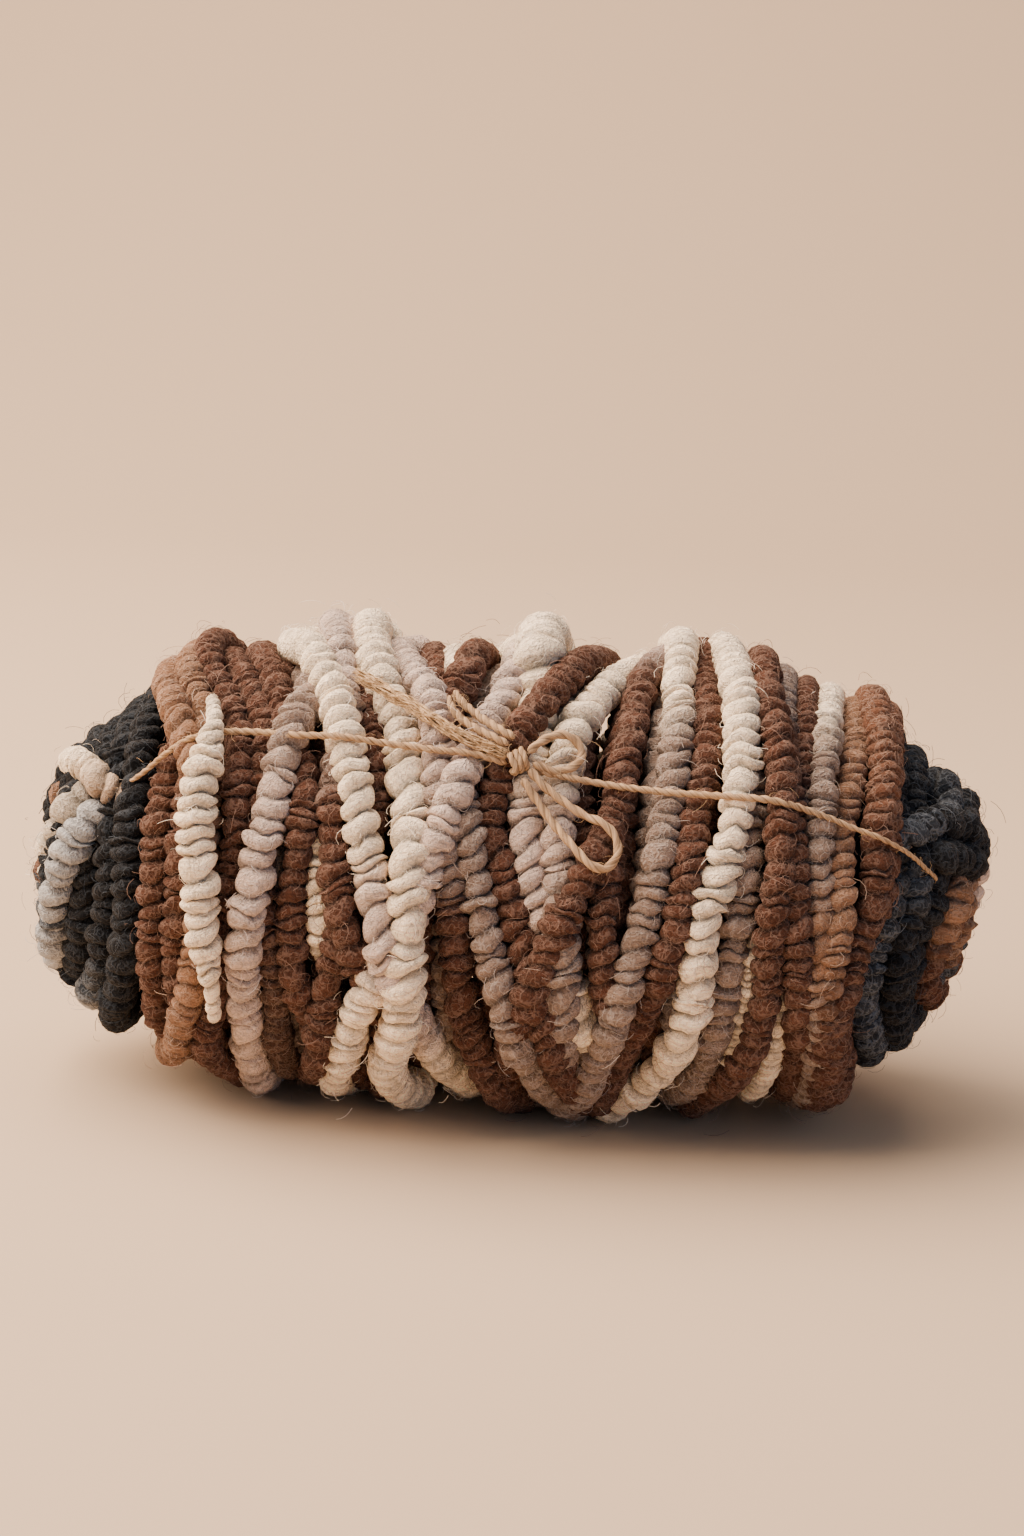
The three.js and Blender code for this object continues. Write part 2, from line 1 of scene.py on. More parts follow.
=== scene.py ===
# A roll of thick-and-thin core-spun rug yarn, tied lengthwise with jute twine in a bow, on a pale floor.
# The places of the turns and the twine are those of the part's source, in millimetres.
import math
from functools import partial

import bpy
import numpy as np
from mathutils import Matrix, Vector


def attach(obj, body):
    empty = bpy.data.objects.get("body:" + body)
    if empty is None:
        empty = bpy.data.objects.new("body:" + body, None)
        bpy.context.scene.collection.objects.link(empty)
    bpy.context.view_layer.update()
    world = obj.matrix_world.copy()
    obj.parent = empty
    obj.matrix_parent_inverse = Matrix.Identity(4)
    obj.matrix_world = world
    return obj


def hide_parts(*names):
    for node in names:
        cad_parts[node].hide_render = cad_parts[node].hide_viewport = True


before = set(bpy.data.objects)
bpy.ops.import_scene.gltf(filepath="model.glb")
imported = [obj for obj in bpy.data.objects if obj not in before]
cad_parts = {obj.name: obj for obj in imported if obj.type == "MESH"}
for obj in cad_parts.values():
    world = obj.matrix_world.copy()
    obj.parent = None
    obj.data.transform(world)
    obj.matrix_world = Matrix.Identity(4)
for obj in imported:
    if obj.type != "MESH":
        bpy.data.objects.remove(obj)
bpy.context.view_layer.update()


# Studio
# A seamless sweep of warm beige paper, which hangs behind the roll and runs forward under it. A large soft
# lamp stands at the upper left, another hangs overhead, and a weak bluish one softens the right.

def linear(hex_colour):
    """An sRGB hex value as the linear colour that the shaders take."""
    parts = [int(hex_colour[i:i + 2], 16) / 255 for i in (1, 3, 5)]
    return tuple(c / 12.92 if c <= 0.04045 else ((c + 0.055) / 1.055) ** 2.4 for c in parts) + (1.0,)


# How Blender's names for the kinds of node start
NODE_PREFIXES = ("GeometryNode", "ShaderNode", "FunctionNode", "Node")


def add_node(tree, kind, *inputs, **settings):
    """Adds a node with its settings and inputs. The kind is Blender's name for it without the prefix, or in
    capitals the operation of a Math node, or of a Vector Math node after VECTOR_. The inputs are given in
    order or in a dictionary. A node among them means its first output in use, and of a list each is
    linked."""
    if kind.isupper():
        settings["operation"] = kind.removeprefix("VECTOR_")
        kind = "VectorMath" if kind.startswith("VECTOR_") else "Math"
    prefix = next(prefix for prefix in NODE_PREFIXES if hasattr(bpy.types, prefix + kind))
    node = tree.nodes.new(prefix + kind)
    for title, form in settings.pop("capture_items", ()):
        node.capture_items.new(form, title)
    for name, value in settings.items():
        setattr(node, name, value)
    by_name = inputs[0] if inputs and isinstance(inputs[0], dict) else dict(enumerate(inputs))
    for name, value in by_name.items():
        for source in value if isinstance(value, list) else [value]:
            if isinstance(source, bpy.types.Node):
                source = next(output for output in source.outputs if output.enabled)
            if isinstance(source, bpy.types.NodeSocket):
                tree.links.new(source, node.inputs[name])
            else:
                node.inputs[name].default_value = source
    return node


def new_material(name):
    """A material without nodes, and add_node for its tree."""
    material = bpy.data.materials.new(name)
    material.use_nodes = True
    material.node_tree.nodes.clear()
    return material, partial(add_node, material.node_tree)


# Matt background paper: no gloss, and a very faint unevenness about 170 mm wide
paper, node = new_material("matt_background_paper")
place = node("TexCoord").outputs["Object"]
cloud = node("TexNoise", {"Vector": place, "Scale": 6.0, "Detail": 3.0})
tone = node("Mix", {0: cloud, 6: linear("#C9B299"), 7: linear("#C9B297")}, data_type="RGBA")
surface = node("BsdfPrincipled", {"Base Color": tone, "Roughness": 0.9, "Specular IOR Level": 0.15})
node("OutputMaterial", {"Surface": surface})

# The sweep in metres: floor, bend and wall
FLOOR_HALF, FLOOR_FRONT, WALL_START, WALL_BEND, WALL_TOP = 4.0, -3.0, 1.2, 0.9, 3.5
BEND_PARTS = 16
profile = [(FLOOR_FRONT, 0.0), (WALL_START, 0.0)]
for part in range(1, BEND_PARTS + 1):
    turned = part / BEND_PARTS * math.pi / 2
    profile.append((WALL_START + WALL_BEND * math.sin(turned), WALL_BEND * (1 - math.cos(turned))))
profile.append((WALL_START + WALL_BEND, WALL_TOP))
sweep_mesh = bpy.data.meshes.new("background")
sweep_mesh.from_pydata(
    [(side * FLOOR_HALF, y, z) for y, z in profile for side in (-1, 1)], [],
    [(2 * i, 2 * i + 1, 2 * i + 3, 2 * i + 2) for i in range(len(profile) - 1)])
for face in sweep_mesh.polygons:
    face.use_smooth = True
sweep_mesh.materials.append(paper)
background = bpy.data.objects.new("background", sweep_mesh)
bpy.context.scene.collection.objects.link(background)

# The camera stands 1.35 m away, 14 degrees up, a little to the right, and is held 2 degrees off level.
# Its distances are in millimetres, as those of the turns and routes below are, and MM makes them metres.
MM = 0.001
CAMERA_AWAY, PIXELS_PER_MM = 1350.0, 2.5
IMAGE_WIDTH, IMAGE_HEIGHT = 1024, 1536
CAMERA_YAW, CAMERA_UP, CAMERA_ROLL = math.radians(4.5), math.radians(14.0), math.radians(2.0)
ROLL_MIDDLE = Vector((1.25, 0.0, 89.0))
ROLL_MIDDLE_SHOWN = (513.0, 875.0)
SENSOR_HEIGHT, CLIP_START, CLIP_END = 36.0, 0.05, 20.0
back = Vector((math.sin(CAMERA_YAW) * math.cos(CAMERA_UP), -math.cos(CAMERA_YAW) * math.cos(CAMERA_UP),
               math.sin(CAMERA_UP)))
right = Vector((0, 0, 1)).cross(back).normalized()
up = back.cross(right)
right, up = (right * math.cos(CAMERA_ROLL) + up * math.sin(CAMERA_ROLL),
             up * math.cos(CAMERA_ROLL) - right * math.sin(CAMERA_ROLL))
aim = (ROLL_MIDDLE - right * (ROLL_MIDDLE_SHOWN[0] - IMAGE_WIDTH / 2) / PIXELS_PER_MM
       + up * (ROLL_MIDDLE_SHOWN[1] - IMAGE_HEIGHT / 2) / PIXELS_PER_MM)
camera_data = bpy.data.cameras.new("camera")
camera_data.sensor_fit = "VERTICAL"
camera_data.sensor_height = SENSOR_HEIGHT
camera_data.lens = camera_data.sensor_height * CAMERA_AWAY * PIXELS_PER_MM / IMAGE_HEIGHT
camera_data.clip_start, camera_data.clip_end = CLIP_START, CLIP_END
camera = bpy.data.objects.new("camera", camera_data)
turned = Matrix((right, up, back)).transposed().to_4x4()
camera.matrix_world = Matrix.Translation((aim + back * CAMERA_AWAY) * MM) @ turned
bpy.context.scene.collection.objects.link(camera)
bpy.context.scene.camera = camera

# Lamps, all aimed at the roll. Columns: name, place and size in metres, watts, colour
LAMPS_AIM = Vector((0, 0, 0.08))
LAMPS = (
    ("key_lamp", (-1.15, -0.04, 1.4), 2.3, 156.0, "#FFE4CB"),
    ("fill_lamp", (1.3, -1.4, 0.7), 1.4, 6.0, "#CCDAFF"),
    ("top_lamp", (0.0, 0.6, 2.4), 2.0, 42.0, "#FFEDDC"),
)
# A dim light from all round
SKY_COLOUR, SKY_STRENGTH = "#CDD8EC", 0.36
for name, spot, size, watts, colour in LAMPS:
    lamp = bpy.data.lights.new(name, "AREA")
    lamp.size, lamp.energy, lamp.color = size, watts, linear(colour)[:3]
    holder = bpy.data.objects.new(name, lamp)
    holder.location = spot
    holder.rotation_euler = (LAMPS_AIM - Vector(spot)).to_track_quat("-Z", "Y").to_euler()
    bpy.context.scene.collection.objects.link(holder)
world = bpy.data.worlds.new("studio")
world.use_nodes = True
sky = world.node_tree.nodes["Background"]
sky.inputs["Color"].default_value = linear(SKY_COLOUR)
sky.inputs["Strength"].default_value = SKY_STRENGTH
bpy.context.scene.world = world


# Wound yarn
# One length of core-spun rug yarn, wound by hand into a roll with rounded ends. Soft roving is wrapped round
# a thin core, so the yarn looks like a row of beads. It is dyed in long stretches of cream, taupe, brown
# and charcoal.

# The roll's axis, and half its outline: places along the axis and distances from it
AXIS_HEIGHT, AXIS_BACK, AXIS_RIGHT = 88.0, 1.0, 1.25
HALF_OUTLINE = ((0, 86.5), (60, 86), (100, 84), (118, 80), (130, 75), (139, 69), (147, 62),
                (156, 54), (165, 45), (172, 35), (176.5, 22), (178, 10), (178.3, 0))
# Its foot is flattened by its weight, its left end sags and its right end has a waist
FOOT_FLAT = 0.07
SAG_FROM, SAG_TO, LEFT_SAG, SAG_BELOW = 110.0, 150.0, 19.0, 60.0
RIGHT_WAIST, WAIST_HEIGHT, WAIST_REACH = 9.0, -18.0, 32.0
# Turns press into each other, and pile up less at the foot and the ends. Drawn tight, one sags only a little
# between two that carry it.
SQUEEZE, MOST_PILED, FOOT_PRESS, END_PRESS = 0.72, 13.0, 0.6, 0.55
SAG, PULL_PASSES = 0.2, 60
# Degrees between the points of a turn, and the fewest parts of a short one
TURN_STEP, FEWEST_STEPS = 4, 10
# How deep a tucked end goes under, and over what length
TUCK_DEPTH, TUCK_LENGTH = 8.0, 12.0
# Behind, the turns are spread over this much of the roll to each side of its middle
BACK_HALF_WIDTH = 141.0
# The angles at which a turn's place is given: the first, their spacing and their number all round
FIRST_ANGLE, STATION, STATIONS = -12, 24, 15

# Each dye, and how many pale fibres are mixed in
DYES = {
    "W": ("#FFEACB", 0.2), "P": ("#D0B8A8", 0.30), "T": ("#8E796B", 0.42), "N": ("#8C6850", 0.25),
    "M": ("#6C4633", 0.42), "B": ("#4F3023", 0.45), "D": ("#4C3529", 0.36), "K": ("#0B1016", 0.42),
    "G": ("#2E353D", 0.65), "L": ("#A5A5A5", 0.55),
}

# Full turns of the body, the lowest first. Columns: thickness, then the place along the roll at -12, 12, 36,
# 60, 84, 108, 132 and 156 degrees from the crown towards the viewer, then the dye there and at the back
TURNS = (
    (10, (113, 113, 113, 113, 113, 109, 105, 99), "BBBGGWWWB"),
    (14, (8, 9, 10, 10, 18, 34, 33, 27), "WWWPPWWWW"),
    (15, (54, 38, 24, 22, 26, 27, 24, 15), "WWWPTTTTB"),
    (13, (-131, -130, -128, -132, -133, -133, -127, -117), "BBBBBBBBB"),
    (12, (-128, -127, -117, -121, -122, -123, -112, -110), "NNNBBBBBB"),
    (12, (-118, -108, -94, -92, -88, -83, -84, -84), "BBBBBDDDB"),
    (12, (-122, -119, -104, -99, -101, -106, -111, -103), "BBBBBBBBB"),
    (13, (-106, -97, -84, -73, -77, -74, -63, -54), "BBBBBBBBT"),
    (13, (-140, -137, -125, -112, -112, -115, -120, -126), "NNNNNNNNB"),
    (13, (-66, -62, -53, -48, -56, -63, -68, -74), "BBBBBBBBB"),
    (15, (-70, -73, -79, -85, -91, -95, -96, -95), "PTTPPPPPT"),
    (13, (-76, -69, -61, -63, -57, -45, -40, -46), "PPTBBBBBB"),
    (14, (32, 24, 8, -4, 8, 20, 30, 35), "BBBBBBBBB"),
    (14, (62, 50, 46, 42, 26, 11, 5, 9), "PBBBBBBBB"),
    (13, (72, 74, 77, 73, 68, 57, 45, 38), "BBBBBBBBB"),
    (14, (62, 63, 64, 62, 56, 46, 36, 24), "WWTTTTTTB"),
    (14, (-17, -17, -24, -13, -4, 7, 19, 32), "BBBTTTTTB"),
    (14, (-50, -41, -27, -22, -15, -12, -1, 4), "PPPTBBBBB"),
    (14, (-2, 0, -8, -19, -31, -49, -59, -64), "WPPPPWWWW"),
    (15, (-92, -80, -64, -53, -43, -33, -21, -12), "WWWWPPWWT"),
    (16.5, (-61, -56, -42, -33, -31, -33, -41, -35), "WWWWWWWWW"),
    (13, (103, 103, 105, 108, 112, 115, 116, 113), "TTBBBBBBB"),
    (12, (123, 122, 120, 119, 121, 123, 122, 119), "WWTTNTTTB"),
    (12, (134, 135, 133, 128, 127, 125, 124, 121), "NNNNNBBBB"),
    (13, (145, 145, 146, 146, 145, 141, 133, 127), "MMMBBBBBB"),
    (13, (137, 138, 141, 140, 139, 131, 126, 124), "MMMBBBBBB"),
    (13, (88, 92, 94, 94, 91, 86, 80, 69), "TTTTTTTTT"),
    (13, (94, 96, 101, 104, 103, 101, 90, 77), "BBBBBBBBB"),
    (15, (80, 85, 89, 87, 78, 74, 62, 42), "WWWWWWWWW"),
)

# Turns of the two rounded ends, lowest first. Their place is measured along the surface from the middle.
END_TURNS = (
    (13, (-201, -201, -201, -201, -202, -203, -202, -201), "KKKKGGGKK"),
    (13, (-190, -189, -188, -188, -189, -190, -190, -190), "KKKKKKKKK"),
    (14, (-147, -147, -148, -148, -148, -146, -145, -143), "KKKKKKKKK"),
    (14, (-170, -170, -171, -173, -174, -175, -174, -172), "KKKKKKKKK"),
    (14, (-158, -158, -158, -160, -159, -161, -158, -156), "KKKKKKGLK"),
    (13, (-180, -180, -180, -181, -184, -186, -185, -183), "KKKKKGLGK"),
    (13, (201, 201, 200, 200, 201, 201, 201, 201), "KKKNNNBBB"),
    (13, (189, 189, 188, 188, 188, 187, 186, 187), "KKNNNBBBB"),
    (14, (152, 152, 153, 154, 156, 156, 152, 149), "KKKKGGGKK"),
    (14, (177, 177, 177, 177, 177, 176, 174, 174), "KKKKKKKKK"),
    (14, (164, 164, 165, 166, 167, 168, 165, 161), "KKKGKKKKK"),
)

# Stretches that come up between other turns and go under again. Columns: thickness, first and last angle,
# the place along the surface at the first, middle and last angle, and the dye at each
SHORT_TURNS = (
    (11, 52, 100, (-67, -67, -65), "WWW"),
    (11, 60, 118, (66, 67, 70), "TGT"),
    (11, 78, 118, (40, 41, 42), "TTT"),
    (13, 62, 112, (44, 41, 48), "BBB"),
    (12, -40, 24, (-38, -35, -27), "BBB"),
    (11, -30, 22, (-27, -26, -22), "WWW"),
    (11, -30, 26, (20, 21, 18), "WWP"),
    (8, 84, 136, (97, 95, 86), "WWW"),
)

# Stretches laid over all the rest, with the same columns
LATE_SHORT_TURNS = (
    (21, -40, 20, (8, 8, 9), "WWW"),
    (14, 52, 150, (-161, -185, -180), "LLG"),
    (14, 44, 106, (-163, -193, -196), "GWL"),
    (11, 12, 52, (-197, -194, -189), "NNP"),
    (13, 8, 56, (-190, -176, -152), "WWN"),
    (13, 6, 56, (166, 177, 149), "KGG"),
    (14, 14, 48, (204, 188, 158), "KKK"),
    (14, 38, 60, (206, 190, 160), "KKK"),
)

# Turns that cross the middle of each end. Columns: the way that each faces, how near it comes, its dye
END_CHORDS = ((30, 13, "K"), (150, 12, "B"), (270, 14, "K"), (90, 9, "P"), (215, 8, "G"))
CHORD_REACH, CHORD_THICKNESS, CHORD_STEP = 42, 13, 6


def smooth_knots(knots, samples=60):
    """A centripetal Catmull-Rom line through the knots, as a dense row of points."""
    knots = np.asarray(knots, float)
    padded = np.vstack([2 * knots[0] - knots[1], knots, 2 * knots[-1] - knots[-2]])
    share = np.arange(samples)[:, None] / samples
    line = []
    for before, start, end, after in zip(padded, padded[1:], padded[2:], padded[3:]):
        spans = [np.sqrt(np.linalg.norm(b - a)) for a, b in ((before, start), (start, end), (end, after))]
        leave = ((start - before) / spans[0] - (end - before) / (spans[0] + spans[1])
                 + (end - start) / spans[1]) * spans[1]
        arrive = ((end - start) / spans[1] - (after - start) / (spans[1] + spans[2])
                  + (after - end) / spans[2]) * spans[1]
        line.append(start + leave * share + (3 * (end - start) - 2 * leave - arrive) * share ** 2
                    + (2 * (start - end) + leave + arrive) * share ** 3)
    return np.vstack(line + [knots[-1:]])


def lengths_along(points):
    """The length of a line up to each of its points."""
    return np.concatenate([[0], np.cumsum(np.linalg.norm(np.diff(points, axis=0), axis=1))])


def values_at(place, along, rows):
    """Rows of values that are given along a line, at other places along it."""
    return np.stack([np.interp(place, along, column) for column in rows.T], axis=1)


half = np.array(HALF_OUTLINE, float)
OUTLINE = smooth_knots(np.vstack([half[:0:-1] * (-1, 1), half]))
OUTLINE_ALONG = lengths_along(OUTLINE)
OUTLINE_ALONG -= OUTLINE_ALONG[-1] / 2
OUTLINE_WAY = np.gradient(OUTLINE, OUTLINE_ALONG, axis=0)
OUTLINE_WAY /= np.linalg.norm(OUTLINE_WAY, axis=1, keepdims=True)


def on_roll(run, angle):
    """Points of the surface on which turns are laid, and the way out of it."""
    run = np.clip(run, OUTLINE_ALONG[0], OUTLINE_ALONG[-1])
    x, out_by = values_at(run, OUTLINE_ALONG, OUTLINE).T
    way_x, way_out = values_at(run, OUTLINE_ALONG, OUTLINE_WAY).T
    turned = np.radians(angle)
    aside, rise = -np.sin(turned), np.cos(turned)
    lies = out_by * (1 - FOOT_FLAT * np.minimum(0, rise) ** 2)
    height = out_by * rise
    low = np.clip(-height / SAG_BELOW, 0, 1) ** 2
    waist = np.maximum(0, 1 - ((height - WAIST_HEIGHT) / WAIST_REACH) ** 2)
    share = np.clip((np.abs(x) - SAG_FROM) / (SAG_TO - SAG_FROM), 0, 1)
    x = x - np.where(x < 0, LEFT_SAG * low, RIGHT_WAIST * waist) * share * share * (3 - 2 * share)
    foot = np.stack([x + AXIS_RIGHT, AXIS_BACK + lies * aside, AXIS_HEIGHT + lies * rise], axis=1)
    out = np.stack([-way_out, way_x * aside, way_x * rise], axis=1)
    return foot, out


def round_axis(rows):
    """Points given by their place along the axis, angle and distance from the axis."""
    x, angle, distance = np.array(rows, float)[:, :3].T
    turned = np.radians(angle)
    aside, rise = np.sin(turned) * distance, np.cos(turned) * distance
    return np.stack([x + AXIS_RIGHT, AXIS_BACK - aside, AXIS_HEIGHT + rise], axis=1)


def run_at_distance(distance):
    """How far along the surface of an end a distance from the axis is reached."""
    half_line = OUTLINE_ALONG >= 0
    return np.interp(-distance, -OUTLINE[half_line, 1], OUTLINE_ALONG[half_line])


def round_stations(values, place):
    """Smooth values of a closed row of stations, at places counted in stations."""
    whole = np.floor(place).astype(int)
    part = (place - whole)[:, None] if np.ndim(values) > 1 else place - whole
    a, b, c, d = (np.asarray(values)[(whole + step) % len(values)] for step in (-1, 0, 1, 2))
    bend = (2 * a - 5 * b + 4 * c - d) * part ** 2 + (3 * b - 3 * c + d - a) * part ** 3
    return b + ((c - a) * part + bend) / 2


def closed_stations(shown, slot):
    """The stations in front, and those of the way back to the first along a slot behind."""
    behind = STATIONS - len(shown)
    stations = list(shown)
    for step in range(1, behind + 1):
        share = step / (behind + 1)
        near_foot, near_crown = max(0, 1 - 2 * share), max(0, 2 * share - 1)
        stations.append(near_foot * shown[-1] + near_crown * shown[0] + (1 - near_foot - near_crown) * slot)
    return stations


def dyes_of(letters):
    """The colour of each dye, with its share of pale fibres as the fourth value."""
    return np.array([linear(DYES[letter][0])[:3] + (DYES[letter][1],) for letter in letters])


def full_turn(thickness, shown, letters, slot):
    """One closed turn round the roll, before it is laid."""
    angle = np.arange(0, 360, TURN_STEP)
    place = (angle - FIRST_ANGLE) / STATION
    foot, out = on_roll(round_stations(closed_stations(shown, slot), place), angle)
    first, last, behind = letters[0], letters[-2], letters[-1]
    dyes = dyes_of(letters[:-1] + last * 2 + behind * 3 + first * 2)
    step = np.floor(place).astype(int)
    ease = (place - step)[:, None]
    ease = ease * ease * (3 - 2 * ease)
    dye = dyes[step % STATIONS] * (1 - ease) + dyes[(step + 1) % STATIONS] * ease
    radius = np.full(len(angle), thickness / 2)
    return {"foot": foot, "out": out, "radius": radius, "tuck": 0 * radius, "dye": dye, "closed": True}


def tucked(foot, out, thickness, dye):
    """An open stretch whose ends go under the others."""
    from_end = np.minimum(*(np.linalg.norm(foot - foot[end], axis=1) for end in (0, -1)))
    share = np.clip((TUCK_LENGTH - from_end) / TUCK_LENGTH, 0, 1)
    radius = np.full(len(foot), thickness / 2)
    return {"foot": foot, "out": out, "radius": radius, "tuck": share * share * (3 - 2 * share), "dye": dye,
            "closed": False}


def short_turn(thickness, first, last, runs, letters):
    """An open stretch of a turn, through three given places."""
    count = max(FEWEST_STEPS, round((last - first) / TURN_STEP))
    t = np.arange(count + 1) / count
    start, middle, end = runs
    run = start * (1 - t) * (1 - 2 * t) + 4 * middle * t * (1 - t) + end * t * (2 * t - 1)
    foot, out = on_roll(run, first + t * (last - first))
    return tucked(foot, out, thickness, values_at(t * 2, (0, 1, 2), dyes_of(letters)))


def chord_turn(side, facing, nearest, letter):
    """A stretch that runs straight across an end, past its middle."""
    reach = np.arange(-CHORD_REACH, CHORD_REACH + 1, CHORD_STEP)
    run = side * run_at_distance(np.hypot(reach, nearest))
    foot, out = on_roll(run, facing + np.degrees(np.arctan2(reach, nearest)))
    return tucked(foot, out, CHORD_THICKNESS, dyes_of(letter * len(reach)))


laid = []


def lay(turn):
    """Lays a turn on what is there already. It is drawn tight, so it bridges the dips."""
    foot, out, radius, tuck = (turn[key] for key in ("foot", "out", "radius", "tuck"))
    resting = np.zeros(len(foot))
    if laid:
        away = np.vstack([strand["middles"] for strand in laid])[None] - foot[:, None]
        radii = np.concatenate([strand["radius"] for strand in laid])
        height = np.einsum("ijk,ik->ij", away, out)
        aside = (away ** 2).sum(2) - height ** 2
        room = ((radius[:, None] + radii[None]) * SQUEEZE) ** 2 - aside
        reach = np.where(room > 0, height + np.sqrt(np.maximum(room, 0)), 0)
        most = MOST_PILED * (1 - FOOT_PRESS * np.minimum(0, out[:, 2]) ** 2 - END_PRESS * out[:, 0] ** 2)
        resting = most * np.tanh(np.maximum(reach.max(1), 0) / most)
    heights = resting.copy()
    for _ in range(PULL_PASSES):
        pulled = np.maximum(resting, (np.roll(heights, 1) + np.roll(heights, -1)) / 2 - SAG)
        if not turn["closed"]:
            pulled[[0, -1]] = heights[[0, -1]]
        heights = pulled
    height = heights * (1 - tuck) - TUCK_DEPTH * tuck
    middles = foot + out * height[:, None]
    laid.append({"middles": middles, "radius": radius, "dye": turn["dye"], "closed": turn["closed"]})
    return laid[-1]


def back_slots(turns, half_width):
    """Each turn crosses the back in a slot of its own, in the turns' order along the crown and foot."""
    middle = [shown[0] + shown[-1] for _, shown, _ in turns]
    rank = np.argsort(np.argsort(middle, kind="stable"), kind="stable")
    return rank * 2 * half_width / (len(turns) - 1) - half_width


end_strands = [lay(chord_turn(side, *row)) for side in (-1, 1) for row in END_CHORDS]
under_strands = [lay(short_turn(*row)) for row in SHORT_TURNS]
end_strands += [lay(full_turn(thickness, shown, letters, (shown[0] + shown[-1]) / 2))
                for thickness, shown, letters in END_TURNS]
slots = back_slots(TURNS, BACK_HALF_WIDTH)
body_strands = [lay(full_turn(*row, slot)) for row, slot in zip(TURNS, slots)]
over_strands = [lay(short_turn(*row)) for row in LATE_SHORT_TURNS]

# Turns of the layer beneath, which show in the gaps: one for each letter, side by side and leaning a little
UNDER_THICKNESS, UNDER_DEPTH, UNDER_PITCH, UNDER_LEAN = 14, 8.0, 13.5, 5
UNDER_DYES = "KNBBTBBWBTBWBBTBBTBNK"


def under_layer():
    """The turns of the layer beneath, as closed strands."""
    strands = []
    for index, letter in enumerate(UNDER_DYES):
        run = (index - (len(UNDER_DYES) - 1) / 2) * UNDER_PITCH
        angle = np.arange(0, 360, 2 * TURN_STEP)
        lean = UNDER_LEAN * np.sin(np.radians(angle) + index)
        foot, out = on_roll(run + lean, angle)
        radius = np.full(len(angle), UNDER_THICKNESS / 2)
        strands.append({"middles": foot - out * UNDER_DEPTH, "radius": radius,
                        "dye": dyes_of(letter * len(angle)), "closed": True})
    return strands


# Parts between two points of a strand, once it is rounded, the fewest points that it is drawn with, and the
# least share of its radius at an end
FINER, FEWEST_POINTS, NARROWEST_END = 4, 4, 0.02


def path_mesh(name, strands, step=3.0):
    """The middle lines of strands as one mesh of edges, with the radius and dye on its points, which are a
    step apart. An open strand ends in half a ball."""
    points, radii, dyes, edges = [], [], [], []
    for strand in strands:
        loop = strand["closed"]
        line = strand["middles"]
        values = np.column_stack([strand["radius"], strand["dye"]])
        if loop:
            place = np.arange(0, len(line), 1 / FINER)
            line, values = round_stations(line, place), round_stations(values, place)
            line, values = np.vstack([line, line[:1]]), np.vstack([values, values[:1]])
        else:
            place = np.arange(FINER * (len(line) - 1) + 1) / FINER
            values = values_at(place, np.arange(len(line)), values)
            line = smooth_knots(line, FINER)
        along = lengths_along(line)
        count = max(FEWEST_POINTS, round(along[-1] / step))
        at = np.linspace(0, along[-1], count + 1)[:count if loop else None]
        line, values = values_at(at, along, line), values_at(at, along, values)
        if not loop:
            from_end = np.minimum(at, at[-1] - at) / values[:, 0]
            ball = 1 - (1 - np.minimum(from_end, 1)) ** 2
            values[:, 0] *= np.sqrt(np.clip(ball, NARROWEST_END ** 2, 1))
        first = sum(len(part) for part in points)
        number = len(line)
        edges += [(first + i, first + (i + 1) % number) for i in range(number if loop else number - 1)]
        points.append(line * MM)
        radii.append(values[:, 0] * MM)
        dyes.append(values[:, 1:])
    mesh = bpy.data.meshes.new(name)
    mesh.from_pydata(np.vstack(points), edges, [])
    mesh.attributes.new("radius_here", "FLOAT", "POINT").data.foreach_set("value", np.concatenate(radii))
    mesh.attributes.new("dye", "FLOAT_COLOR", "POINT").data.foreach_set("color", np.vstack(dyes).ravel())
    return mesh


def new_tree(name, sizes):
    """A geometry node tree with named inputs, add_node for it, and the sockets that give its inputs.
    Columns: name, socket type, first value."""
    tree = bpy.data.node_groups.new(name, "GeometryNodeTree")
    for way in ("INPUT", "OUTPUT"):
        tree.interface.new_socket("Geometry", in_out=way, socket_type="NodeSocketGeometry")
    for title, kind, value in sizes:
        socket = tree.interface.new_socket(title, in_out="INPUT", socket_type="NodeSocket" + kind)
        if value is not None:
            socket.default_value = value
    return tree, partial(add_node, tree), add_node(tree, "GroupInput").outputs


# The least x and y, where only the height has a limit
NO_LIMIT = (-10.0, -10.0)


